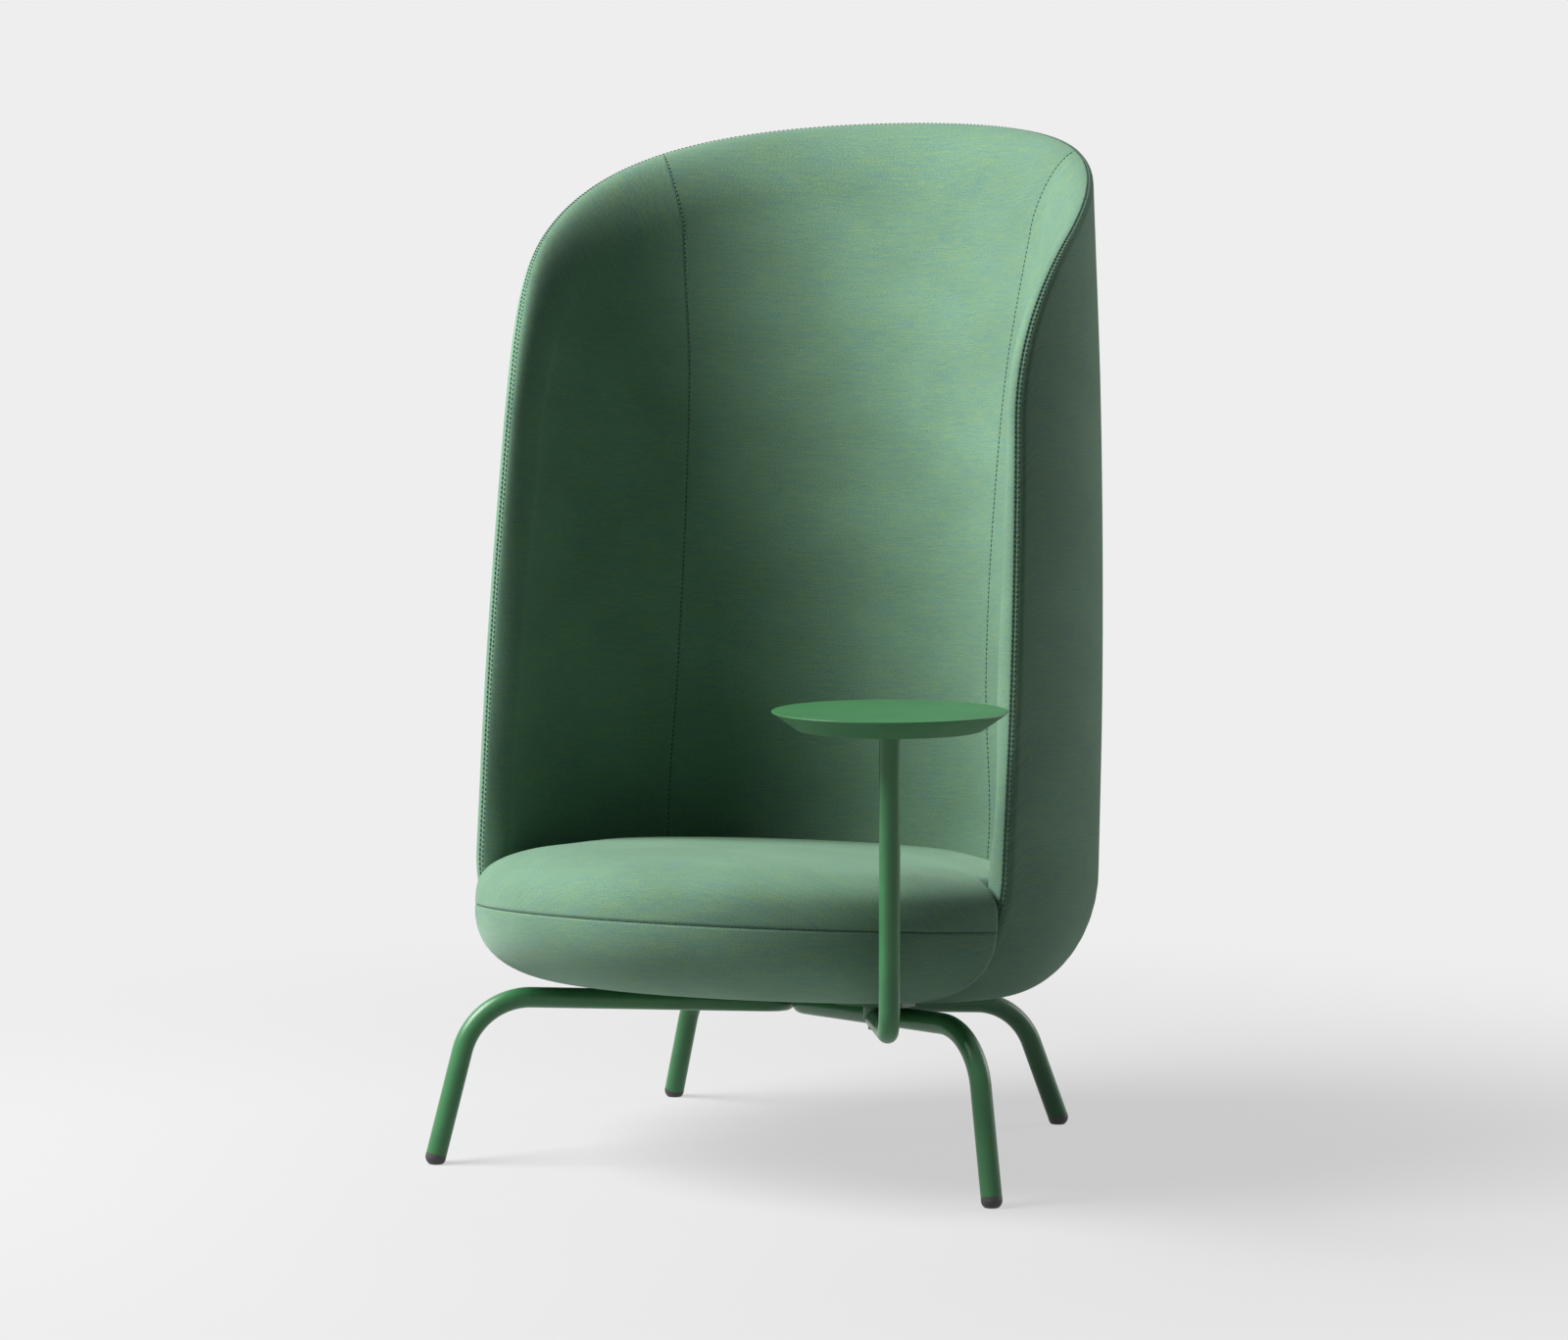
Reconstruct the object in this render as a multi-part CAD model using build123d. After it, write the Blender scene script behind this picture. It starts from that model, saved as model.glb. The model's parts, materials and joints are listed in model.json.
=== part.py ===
from build123d import *
import math
import os

# Easy chair with table. Millimetres, +Z up, the sitter faces -Y.
# The seat and the hood are turned forms on one axis that leans back with the frame.

# frame
tube_d = 28.0
tube_wall = 2.0
frame_z = 198.0            # height of the tube axes where the two tubes meet
frame_y = 48.0             # that crossing, in front-to-back position
lean = 5.5                 # frame plane and seat lean back by this many degrees
crossing_gap = 0.3         # between the two tubes at the crossing, bridged by the plate
crossing_bend_r = 45.0
leg_bend_r = 95.0
front_corner = (357.0, -264.0)     # where run and leg would meet, in the frame plane
rear_corner = (245.0, 239.0)
front_foot = (398.0, -263.0)       # on the floor
rear_foot = (296.5, 326.5)

# glides
glide_h = 13.0             # along the leg, from tube end to floor
glide_skirt = 4.0          # straight part below the tube end
glide_dome = 16.0          # how far the dome would reach if the floor did not cut it
glide_plug_l = 22.0
plug_gap = 0.15

# seat and hood share the axis
seat_axis_y = -39.0        # from the crossing, in the frame plane
seat_bottom_z = 22.0       # above the tube axes
hood_r = 425.0
hood_flat_r = 287.0        # flat part of the underside
hood_side_z = 193.0        # the rounded underside ends here
hood_mid_r = 413.0
hood_mid_z = 685.0
hood_upper_r = 391.0
hood_upper_z = 1050.0
hood_top_r = 371.0
rim_wall = 36.0
rim_round = 13.0
rim_front_y = -196.0       # front edge of the hood at its foot, from the seat axis
rim_front_lean = 24.0      # how far that edge falls back on its straight length
rim_straight_z = 790.0
rim_shoulder = (-34.0, 1050.0)
rim_back = (400.0, 1264.0)

# inside of the hood: height, centre and radius of the hollow
hollow_floor = (-80.0, 290.0)      # centre and radius where it meets the seat's underside
hollow_floor_round = 20.0
hollow_side = (120.0, -100.0, 335.0)
hollow_seat = (220.0, -109.0, 349.0)
hollow_lumbar = (450.0, -121.0, 346.0)
hollow_chest = (700.0, -107.0, 342.0)
hollow_shoulder = (900.0, -83.0, 340.0)
hollow_head = (1130.0, -61.0, 359.0)
hollow_top = (1330.0, -50.0, 388.0)

cover_t = 2.5
glue_gap = 0.4             # between the layers of hood and cushion
core_t = 12.0
core_edge = 16.0           # the core stops this far short of the padded rim
rim_seam_in = 9.0          # depth of the rim seam below the outer face
panel_seam = (230.0, 137.0)        # a point of the lining seam in plan, from the seat axis
panel_seam_angle = 48.6

# cushion
cushion_r = 422.0
cushion_flat_r = 272.0
cushion_seam_z = 124.0
cushion_top_r = 304.0
cushion_edge_z = 214.0
cushion_crown_z = 220.0
cushion_gap = 2.0
seat_cover_t = 2.0
board_in = 28.0            # board edge inside the edge of the hollow's floor
board_t = 15.0
board_round = 4.0

# seat fixing
tab_l = 60.0
tab_w = 78.0
tab_grip = 0.5             # how deep the tubes lie in tabs and plate
bridge_l = 110.0
bridge_w = 90.0
bolt_d = 8.0
bolt_hole_d = 8.6
bolt_head_d = 13.0
bolt_head_h = 5.3
washer_d = 20.0
washer_t = 1.6
front_tab_at = 150.0       # along each run, from the crossing
rear_tab_at = 140.0
bolt_off = 26.0            # bolt beside the tube
tab_shift = 14.0           # middle of a tab beside the tube
plate_round = 9.0
hole_ease = 0.8            # holes in soft layers are wider than those in metal
nut_d = 22.0
nut_t = 2.0
nut_wall = 1.2
nut_barrel_l = 12.0
nut_room = 6.0             # free height in the foam above a nut

# table
table_d = 300.0
table_t = 24.0
table_edge = 2.0
table_foot_d = 236.0
table_z = 647.0            # top face above the floor
stem_pos = (290.0, -355.0)
arm_d = 27.0
arm_wall = 2.0
arm_bend_r = 34.0
arm_lift = 34.0            # arm axis at the stem, above the tube axes at the crossing
pivot_reach = 237.0        # from stem to pivot, along the arm
arm_heading = 24.6         # degrees from straight ahead towards the sitter's left
arm_rise = 4.3
arm_tail = 13.5            # tube behind the pivot, short enough to pass the frame tube
cap_t = 2.5
cap_pin_gap = 0.5          # between the cap's plug and the pin
pin_d = 20.0
pin_collar_d = 33.0
pin_collar_h = 2.5         # above the arm
pin_clearance = 0.05
bush_d = 26.0
bush_l = 16.0
housing_d = 38.0
housing_h = 36.0
housing_plate = (92.0, 66.0, 6.0)
housing_screw_d = 5.0
housing_screw_in = 11.0    # screw from the plate's edge
housing_room = 1.0         # round the sleeve, in the hood's floor
thrust_t = 2.0
thrust_gap = 0.1
retainer_d = 30.0
retainer_t = 2.0
pivot_screw_d = 8.0
pivot_screw_l = 18.0
pivot_screw_head = (12.8, 4.0, 5.0)        # across, height, socket
flange_d = 90.0
flange_t = 4.0
flange_screws = 3
flange_pcd = 64.0
table_screw_d = 5.0
table_screw_l = 17.0
table_edge_round = 0.8

crossing = Pos(0, frame_y, frame_z) * Rot(-lean, 0, 0)
seat = crossing * Pos(0, seat_axis_y, 0)
board_z = seat_bottom_z + rim_wall + cushion_gap + seat_cover_t + glue_gap      # underside
board_y, board_r = hollow_floor[0], hollow_floor[1] - board_in


def on_floor_frame(x, y, z=0.0):
    """A point of the leaning frame plane, in the part's frame."""
    return (crossing * Pos(x, y, z)).position


def turned(profile):
    """Solid turned about the seat axis, with its seam line at the back."""
    face = make_face([Plane.YZ * e for e in profile])
    return revolve(face, Axis.Z)


def hood_block(inset):
    """The hood's outer form, full, from its flat underside to above the rim."""
    r, low = hood_r - inset, seat_bottom_z + inset
    top_z = hollow_top[0]
    side = Spline((r, hood_side_z), (hood_mid_r - inset, hood_mid_z),
                  (hood_upper_r - inset, hood_upper_z), (hood_top_r - inset, top_z),
                  tangents=((0, 1), (-0.08, 1)))
    return turned([
        Line((0, low), (hood_flat_r, low)),
        EllipticalCenterArc((hood_flat_r, hood_side_z), r - hood_flat_r, hood_side_z - low,
                            start_angle=270, arc_size=90),
        side,
        Line((hood_top_r - inset, top_z), (0, top_z)),
        Line((0, top_z), (0, low)),
    ])


def hollow(inset):
    """The space for the sitter: round sections that bulge at the small of the back."""
    low = seat_bottom_z + rim_wall + inset
    stations = [(low, *hollow_floor), hollow_side, hollow_seat, hollow_lumbar, hollow_chest,
                hollow_shoulder, hollow_head, hollow_top]
    rings = [Pos(0, c, h) * Rot(0, 0, -90) * Circle(rad - inset) for h, c, rad in stations]
    body = loft(rings)
    return fillet(body.edges().sort_by(Axis.Z)[:1], hollow_floor_round - inset)


def rim_side(inset):
    """What lies behind the rim in side view: straight front edge, two arcs to the back."""
    top_y = rim_front_y + rim_front_lean
    front = Line((rim_front_y, 0), (top_y, rim_straight_z))
    shoulder = TangentArc((top_y, rim_straight_z), rim_shoulder, tangent=front % 1)
    crest = TangentArc(rim_shoulder, rim_back, tangent=shoulder % 1)
    back, low = 700.0, -100.0
    end = crest @ 1
    rest = Polyline((end.X, end.Y), (back, end.Y), (back, low), (rim_front_y, low),
                    (rim_front_y, 0))
    face = make_face([front, shoulder, crest] + rest.edges())
    if inset:
        face = offset(face, -inset)
    return Plane.YZ * face


def behind_rim(inset):
    return extrude(rim_side(inset), 600, both=True)


def rim_edges(solid, inset):
    """Edges of the cut along the rim."""
    wire = rim_side(inset).wire()
    found = ShapeList()
    for e in solid.edges():
        spots = [e @ t for t in (0.1, 0.35, 0.6, 0.85)]
        if all(wire.distance_to(Vertex(0, p.Y, p.Z)) < 0.05 for p in spots):
            found.append(e)
    return found


def hood_body(inset):
    """The whole padded hood with its rounded rim."""
    body = (hood_block(inset) - hollow(-inset)) & behind_rim(inset)
    return fillet(rim_edges(body, inset), rim_round - inset)


def cushion_body(inset):
    """Round in front of the hood, and inside the hood as wide as the hollow."""
    r, low = cushion_r - inset, seat_bottom_z + inset
    edge, crown = cushion_edge_z - inset, cushion_crown_z - inset
    full = turned([
        Line((0, low), (cushion_flat_r, low)),
        EllipticalCenterArc((cushion_flat_r, cushion_seam_z), r - cushion_flat_r,
                            cushion_seam_z - low, start_angle=270, arc_size=90),
        EllipticalCenterArc((cushion_top_r, cushion_seam_z), r - cushion_top_r,
                            edge - cushion_seam_z, start_angle=0, arc_size=90),
        Spline((cushion_top_r, edge), (0, crown), tangents=((-1, 0), (-1, 0))),
        Line((0, crown), (0, low)),
    ])
    return full - (behind_rim(-cushion_gap - inset) - hollow(cushion_gap + inset))


def frame_point(corner, at):
    """A point along a run and its direction in the frame plane."""
    a = math.atan2(corner[1], corner[0])
    return (at * math.cos(a), at * math.sin(a)), math.degrees(a)


def tube_path():
    """Axis of the right tube from floor to floor, and where the two legs meet the floor."""
    half = math.radians(90) - (math.atan2(-front_corner[1], front_corner[0])
                               + math.atan2(rear_corner[1], rear_corner[0])) / 2
    tip_x = (tube_d + crossing_gap) / 2 - crossing_bend_r * (1 / math.cos(half) - 1)
    return [Vector(front_foot[0], front_foot[1], 0), on_floor_frame(*front_corner),
            on_floor_frame(tip_x, 0), on_floor_frame(*rear_corner),
            Vector(rear_foot[0], rear_foot[1], 0)]


def pulled_in(foot, corner, length):
    return foot + (corner - foot).normalized() * length


def pipe(points, radii, d, wall=0.0):
    path = FilletPolyline(*points, radius=radii) if radii else Line(*points)
    start = Plane(path @ 0, z_dir=path % 0)
    body = sweep(start * Circle(d / 2), path=path)
    if wall:
        body -= sweep(start * Circle(d / 2 - wall), path=path)
    return body


def frame_tube(hollow_tube=True):
    p = tube_path()
    p[0] = pulled_in(p[0], p[1], glide_h)
    p[4] = pulled_in(p[4], p[3], glide_h)
    radii = (leg_bend_r, crossing_bend_r, leg_bend_r)
    return pipe(p, radii, tube_d, tube_wall if hollow_tube else 0.0)


def glide(foot, corner):
    """Domed end with a plug and a small flat pad that stands on the floor."""
    up = (corner - foot).normalized()
    at = Plane(pulled_in(foot, corner, glide_h), z_dir=up)
    r = tube_d / 2
    dome = revolve(make_face([Plane.XZ * e for e in (
        Line((0, 0), (r, 0)),
        Line((r, 0), (r, -glide_skirt)),
        EllipticalCenterArc((0, -glide_skirt), r, glide_dome - glide_skirt,
                            start_angle=270, arc_size=90),
        Line((0, -glide_dome), (0, 0)),
    )]), Axis.Z)
    plug_r = tube_d / 2 - tube_wall - plug_gap
    plug = Pos(0, 0, glide_plug_l / 2) * Cylinder(plug_r, glide_plug_l)
    ribs = sum((Pos(0, 0, 5 + 6 * i) * (Cylinder(plug_r + 1, 3) - Cylinder(plug_r - 1.2, 3))
                for i in range(3)), Part())
    body = at.location * (dome + chamfer(plug.edges().sort_by(Axis.Z)[-1:], 1.5) - ribs)
    floor = Pos(foot.X, foot.Y, -50) * Box(200, 200, 100)
    return body - floor


def beside_tube(corner, at, side):
    (x, y), a = frame_point(corner, at)
    n = math.radians(a + 90 * side)
    return x + bolt_off * math.cos(n), y + bolt_off * math.sin(n), a


def bolt_spots():
    """Bolt axes in the frame plane, two front and two rear, clear of the table arm."""
    spots = []
    for corner, at, side in ((front_corner, front_tab_at, 1), (rear_corner, rear_tab_at, -1)):
        x, y, a = beside_tube(corner, at, side)
        spots += [(x, y, a), (-x, y, 180 - a)]
    return spots


def pin_at(x, y, d, z0, z1):
    """A cylinder square to the frame plane."""
    return crossing * Pos(x, y, (z0 + z1) / 2) * Cylinder(d / 2, z1 - z0)


def bolt_holes(d, z0, z1):
    return [pin_at(x, y, d, z0, z1) for x, y, a in bolt_spots()]


def tabs(tubes):
    z0 = tube_d / 2 - tab_grip
    out = []
    for x, y, a in bolt_spots():
        i = len(out)
        corner, at = ((front_corner, front_tab_at), (rear_corner, rear_tab_at))[i // 2]
        (cx, cy), ang = frame_point(corner, at)
        cx = cx if i % 2 == 0 else -cx
        share = tab_shift / bolt_off
        mid = (cx + (x - cx) * share, cy + (y - cy) * share)
        plate = Pos(mid[0], mid[1], (z0 + seat_bottom_z) / 2) * Rot(0, 0, a) * Box(
            tab_l, tab_w, seat_bottom_z - z0)
        plate = crossing * fillet(plate.edges().filter_by(Axis.Z), plate_round)
        out.append(plate - tubes - pin_at(x, y, bolt_hole_d, 0, 2 * seat_bottom_z))
    return out


def bridge_plate(tubes):
    z0 = tube_d / 2 - tab_grip
    plate = Pos(0, 0, (z0 + seat_bottom_z) / 2) * Box(bridge_l, bridge_w, seat_bottom_z - z0)
    return crossing * fillet(plate.edges().filter_by(Axis.Z), plate_round) - tubes


def seat_bolts():
    """Hexagon bolts from below the tabs up into the tee nuts."""
    head_z = tube_d / 2 - tab_grip - washer_t
    top_z = board_z + board_t + nut_t
    head = extrude(RegularPolygon(bolt_head_d / 2, 6, major_radius=False), -bolt_head_h)
    shank = Pos(0, 0, (top_z - head_z) / 2) * Cylinder(bolt_d / 2, top_z - head_z)
    bolt = Pos(0, 0, head_z) * (head + shank)
    return [crossing * Pos(x, y, 0) * bolt for x, y, a in bolt_spots()]


def seat_washers():
    z1 = tube_d / 2 - tab_grip
    ring = Pos(0, 0, z1 - washer_t / 2) * (Cylinder(washer_d / 2, washer_t)
                                           - Cylinder(bolt_hole_d / 2, washer_t))
    return [crossing * Pos(x, y, 0) * ring for x, y, a in bolt_spots()]


def tee_nuts():
    z0 = board_z + board_t
    nut = Pos(0, 0, nut_t / 2) * Cylinder(nut_d / 2, nut_t)
    nut += Pos(0, 0, -nut_barrel_l / 2) * Cylinder(bolt_d / 2 + nut_wall, nut_barrel_l)
    nut -= Cylinder(bolt_d / 2, 4 * (nut_barrel_l + nut_t))
    return [crossing * Pos(x, y, z0) * nut for x, y, a in bolt_spots()]


def seat_board():
    z0 = board_z
    board = Pos(0, board_y, z0 + board_t / 2) * Cylinder(board_r, board_t)
    board = seat * fillet(board.edges().filter_by(GeomType.CIRCLE), board_round)
    for cut in bolt_holes(bolt_hole_d, 0, z0 + board_t):
        board -= cut
    for cut in bolt_holes(bolt_d + 2 * nut_wall, z0 + board_t - nut_barrel_l, z0 + 2 * board_t):
        board -= cut
    return board


# table arm and its pivot: the pivot axis is upright, so the top stays level as the arm swings
heading = math.radians(arm_heading)
ahead = Vector(math.sin(heading), -math.cos(heading), 0)
pivot_xy = (stem_pos[0] - ahead.X * pivot_reach, stem_pos[1] - ahead.Y * pivot_reach)
arm_z = frame_z + arm_lift                                   # arm axis under the stem
pivot_arm_z = arm_z - pivot_reach * math.tan(math.radians(arm_rise))
thrust_z = pivot_arm_z + arm_d / 2 + pin_collar_h                     # top of the pin's collar
housing_z = thrust_z + thrust_t + thrust_gap                 # lower face of the housing
pin_top = housing_z + housing_h + thrust_gap


def upright(x, y, d, z0, z1):
    return Pos(x, y, (z0 + z1) / 2) * Cylinder(d / 2, z1 - z0)


def arm_point(reach):
    z = arm_z + reach * math.tan(math.radians(arm_rise))
    return Vector(stem_pos[0] + ahead.X * reach, stem_pos[1] + ahead.Y * reach, z)


def stem_top():
    return table_z - table_t + flange_t


def table_arm():
    """Arm and stem, one tube with a tight bend."""
    points = [arm_point(-pivot_reach - arm_tail), arm_point(0),
              Vector(stem_pos[0], stem_pos[1], stem_top() - flange_t)]
    body = pipe(points, (arm_bend_r,), arm_d, arm_wall)
    return body - upright(*pivot_xy, pin_d, pivot_arm_z - arm_d, thrust_z)


def arm_cap():
    """Plastic end cap of the arm, behind the pivot."""
    end = Plane(arm_point(-pivot_reach - arm_tail), z_dir=arm_point(-1) - arm_point(0))
    disc = Pos(0, 0, cap_t / 2) * Cylinder(arm_d / 2, cap_t)
    disc = fillet(disc.edges().sort_by(Axis.Z)[-1:], cap_t * 0.7)
    plug_l = arm_tail - pin_d / 2 - cap_pin_gap
    plug = Pos(0, 0, -plug_l / 2) * Cylinder(arm_d / 2 - arm_wall - plug_gap, plug_l)
    return end.location * (disc + plug)


def pivot_pin():
    """Pin welded through the arm, with the collar that carries the thrust washer."""
    body = upright(*pivot_xy, pin_d, pivot_arm_z - arm_d / 2, pin_top)
    collar = upright(*pivot_xy, pin_collar_d, pivot_arm_z, thrust_z)
    arm = pipe([arm_point(-pivot_reach - 60), arm_point(-pivot_reach + 60)], (), arm_d)
    body += collar - arm
    return body - upright(*pivot_xy, pivot_screw_d, pin_top - pivot_screw_l - 4, pin_top)


def thrust_washer():
    z0, z1 = thrust_z, thrust_z + thrust_t
    return upright(*pivot_xy, pin_collar_d, z0, z1) - upright(*pivot_xy, pin_d, z0, z1)


def pivot_housing():
    """Upright sleeve on a plate that lies under the seat."""
    l, w, t = housing_plate
    spot = crossing.inverse() * Pos(pivot_xy[0], pivot_xy[1], housing_z)
    x, y = spot.position.X, spot.position.Y
    plate = Pos(x, y, seat_bottom_z - t / 2) * Box(l, w, t)
    plate = crossing * fillet(plate.edges().filter_by(Axis.Z), plate_round)
    body = plate + upright(*pivot_xy, housing_d, housing_z, housing_z + housing_h)
    body -= upright(*pivot_xy, bush_d, housing_z, housing_z + housing_h)
    body -= upright(*pivot_xy, pin_collar_d + 2 * housing_room, housing_z - housing_h, housing_z)
    for cut in housing_screws():
        body -= cut
    return body


def housing_screw_spots():
    l, w, t = housing_plate
    spot = crossing.inverse() * Pos(pivot_xy[0], pivot_xy[1], housing_z)
    x, y = spot.position.X, spot.position.Y
    dx, dy = l / 2 - housing_screw_in, w / 2 - housing_screw_in
    return [(x + i * dx, y + j * dy) for i in (-1, 1) for j in (-1, 1)]


def countersunk(d, length):
    """Screw with its flat head face at the origin, pointing up."""
    head_h = d * 0.5
    head = Pos(0, 0, head_h / 2) * Cone(d, d / 2, head_h)
    return head + Pos(0, 0, length / 2) * Cylinder(d / 2, length)


def housing_screws():
    z0 = seat_bottom_z - housing_plate[2]
    length = housing_plate[2] + cover_t + core_t - 1.0
    screw = countersunk(housing_screw_d, length)
    return [crossing * Pos(x, y, z0) * screw for x, y in housing_screw_spots()]


def bush(z0):
    return (upright(*pivot_xy, bush_d, z0, z0 + bush_l)
            - upright(*pivot_xy, pin_d + 2 * pin_clearance, z0, z0 + bush_l))


def retainer():
    z0, z1 = pin_top, pin_top + retainer_t
    return (upright(*pivot_xy, retainer_d, z0, z1)
            - upright(*pivot_xy, pivot_screw_d, z0, z1))


def pivot_screw():
    z0 = pin_top + retainer_t
    across, height, socket = pivot_screw_head
    length = pivot_screw_l + retainer_t
    head = Pos(0, 0, height / 2) * Cylinder(across / 2, height)
    head -= Pos(0, 0, height / 2) * extrude(RegularPolygon(socket / 2, 6, major_radius=False), height)
    shank = Pos(0, 0, -length / 2) * Cylinder(pivot_screw_d / 2, length)
    return Pos(pivot_xy[0], pivot_xy[1], z0) * (head + shank)


def flange_spots():
    r = flange_pcd / 2
    return [(stem_pos[0] + r * math.cos(math.tau * i / flange_screws),
             stem_pos[1] + r * math.sin(math.tau * i / flange_screws))
            for i in range(flange_screws)]


def table_screws():
    z0 = table_z - table_t
    screw = countersunk(table_screw_d, table_screw_l)
    return [Pos(x, y, z0) * screw for x, y in flange_spots()]


def table_flange():
    z0, z1 = table_z - table_t, table_z - table_t + flange_t
    body = upright(*stem_pos, flange_d, z0, z1)
    for s in table_screws():
        body -= s
    return body


def table_top():
    """Board with a thin edge and a steep undercut, recessed below for the flange."""
    r, low = table_d / 2, -table_t
    board = revolve(make_face([Plane.XZ * e for e in Polyline(
        (0, 0), (r, 0), (r, -table_edge), (table_foot_d / 2, low), (0, low), (0, 0)).edges()]),
        Axis.Z)
    rim = [e for e in board.edges().filter_by(GeomType.CIRCLE) if e.radius > flange_d]
    board = Pos(stem_pos[0], stem_pos[1], table_z) * fillet(rim, table_edge_round)
    board -= upright(*stem_pos, flange_d, table_z - table_t - 1, table_z - table_t + flange_t)
    for s in table_screws():
        board -= s
    return board


def seat_pieces():
    """Covers and foam of the cushion."""
    skin = cushion_body(0) - cushion_body(seat_cover_t)
    top_half = Pos(0, 0, cushion_seam_z + 300) * Box(2000, 2000, 600)
    cover_top, cover_band = seat * (skin & top_half), seat * (skin - top_half)
    foam = seat * cushion_body(seat_cover_t + glue_gap)
    foam -= seat * Pos(0, board_y, board_z + board_t / 2) * Cylinder(board_r + glue_gap, board_t)
    for cut in bolt_holes(nut_d + hole_ease, board_z, board_z + board_t + nut_t + nut_room):
        foam -= cut
    for cut in bolt_holes(bolt_hole_d + hole_ease, 0, board_z):
        cover_band -= cut
    return cover_top, cover_band, foam


def panel_zone(grow):
    """Everything right of the lining seam, widened by grow towards the middle."""
    a = math.radians(panel_seam_angle)
    far = 3 * hood_r
    px, py = panel_seam[0] - grow * math.sin(a), panel_seam[1] + grow * math.cos(a)
    start_x = glue_gap / 2 - grow
    start = (start_x, py - (px - start_x) * math.tan(a))
    end_y = py + far * math.sin(a)
    outline = Polyline(start, (px + far * math.cos(a), end_y), (2 * far, end_y), (2 * far, -far),
                       (start_x, -far), start)
    return extrude(make_face(outline.edges()), 2 * hollow_top[0])


def in_panels(body):
    """Right, left and middle share of a layer, divided at the lining seams."""
    right, wide = panel_zone(0), panel_zone(glue_gap)
    return (body & right, body & mirror(right, Plane.YZ),
            body - wide - mirror(wide, Plane.YZ))


def hood_pieces():
    """Outer cover, core, the pads of floor, sides and back, and the three lining panels."""
    skin = hood_body(0) - hood_body(cover_t)
    outer = skin - hood_block(rim_seam_in)
    lining = skin & hood_block(rim_seam_in + glue_gap)
    below_cover, below_core = cover_t + glue_gap, cover_t + core_t
    core = (hood_block(below_cover) - hood_block(below_core)) & behind_rim(core_edge)
    core_space = (hood_block(cover_t) - hood_block(below_core + glue_gap))
    padding = hood_body(below_cover) - (core_space & behind_rim(core_edge - glue_gap))
    pad_floor_z = seat_bottom_z + rim_wall - below_cover
    floor_pad = padding & Box(4 * hood_r, 4 * hood_r, 2 * pad_floor_z)
    wall_pad = padding - Box(4 * hood_r, 4 * hood_r, 2 * (pad_floor_z + glue_gap))
    pads, panels = in_panels(wall_pad), in_panels(lining)
    pieces = {"hood_outer_cover": outer, "hood_core": core, "hood_pad_floor": floor_pad}
    for i, side in enumerate(("right", "left", "centre")):
        pieces["lining_" + side] = panels[i]
        pieces["hood_pad_" + side] = pads[i]
    cuts = bolt_holes(bolt_hole_d + hole_ease, 0, board_z)
    cuts.append(upright(*pivot_xy, housing_d + 2 * housing_room, frame_z, housing_z + 2 * housing_h))
    out = {}
    for name, piece in pieces.items():
        piece = seat * piece
        if name not in ("hood_pad_right", "hood_pad_left", "hood_pad_centre"):
            for cut in cuts:
                piece -= cut
        if name in ("hood_outer_cover", "hood_core"):
            for cut in housing_screws():
                piece -= cut
        out[name] = piece
    return out


def build():
    p = tube_path()
    right, solid_right = frame_tube(), frame_tube(False)
    left = mirror(right, Plane.YZ)
    tubes = solid_right + mirror(solid_right, Plane.YZ)
    front, rear = glide(p[0], p[1]), glide(p[4], p[3])
    cover_top, cover_band, foam = seat_pieces()
    nodes = {
        "frame_tube_right": right,
        "frame_tube_left": left,
        "frame_bridge_plate": bridge_plate(tubes),
        "frame_tabs": tabs(tubes),
        "glide_front_right": front,
        "glide_front_left": mirror(front, Plane.YZ),
        "glide_rear_right": rear,
        "glide_rear_left": mirror(rear, Plane.YZ),
        "seat_bolts": seat_bolts(),
        "seat_washers": seat_washers(),
        "seat_tee_nuts": tee_nuts(),
        "seat_board": seat_board(),
        "seat_foam": foam,
        "seat_cover_top": cover_top,
        "seat_cover_band": cover_band,
        "pivot_housing": pivot_housing(),
        "housing_screws": housing_screws(),
        "pivot_bush_lower": bush(housing_z),
        "pivot_bush_upper": bush(housing_z + housing_h - bush_l),
        "table_arm": table_arm(),
        "arm_end_cap": arm_cap(),
        "pivot_pin": pivot_pin(),
        "pivot_thrust_washer": thrust_washer(),
        "pivot_retainer": retainer(),
        "pivot_screw": pivot_screw(),
        "table_flange": table_flange(),
        "table_screws": table_screws(),
        "table_top": table_top(),
    }
    nodes.update(hood_pieces())
    return nodes


os.makedirs("parts", exist_ok=True)
for name, shape in build().items():
    if isinstance(shape, list):
        shape = Compound(children=[s.solid() if len(s.solids()) == 1 else s for s in shape])
    export_step(shape, f"parts/{name}.step")
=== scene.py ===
import json
import math

import bmesh
import bpy
import numpy as np
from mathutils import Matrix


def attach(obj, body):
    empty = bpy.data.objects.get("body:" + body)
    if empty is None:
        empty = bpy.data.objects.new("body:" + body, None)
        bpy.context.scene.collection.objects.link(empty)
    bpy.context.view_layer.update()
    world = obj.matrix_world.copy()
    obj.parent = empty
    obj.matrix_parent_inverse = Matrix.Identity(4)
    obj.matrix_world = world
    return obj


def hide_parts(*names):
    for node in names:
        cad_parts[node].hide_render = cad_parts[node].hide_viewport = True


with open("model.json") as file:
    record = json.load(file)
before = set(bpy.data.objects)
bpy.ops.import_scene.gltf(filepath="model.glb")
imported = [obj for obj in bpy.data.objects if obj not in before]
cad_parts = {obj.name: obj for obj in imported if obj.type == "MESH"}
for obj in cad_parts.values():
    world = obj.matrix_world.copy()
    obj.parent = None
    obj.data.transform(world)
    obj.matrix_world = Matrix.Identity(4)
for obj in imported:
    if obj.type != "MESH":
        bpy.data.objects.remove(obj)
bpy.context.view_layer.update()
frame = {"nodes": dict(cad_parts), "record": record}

nodes = frame["nodes"]
MM = 0.001

# Sizes are in millimetres, as in the part's source. The seat frame leans back with the tubes:
# its y counts from the seat axis and its z from the tube axes. Angles on the hood count from
# the back, and on the cushion from the front.
LEAN = math.radians(5.5)
FRAME_Y, FRAME_Z, SEAT_AXIS_Y = 48.0, 198.0, -39.0

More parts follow.
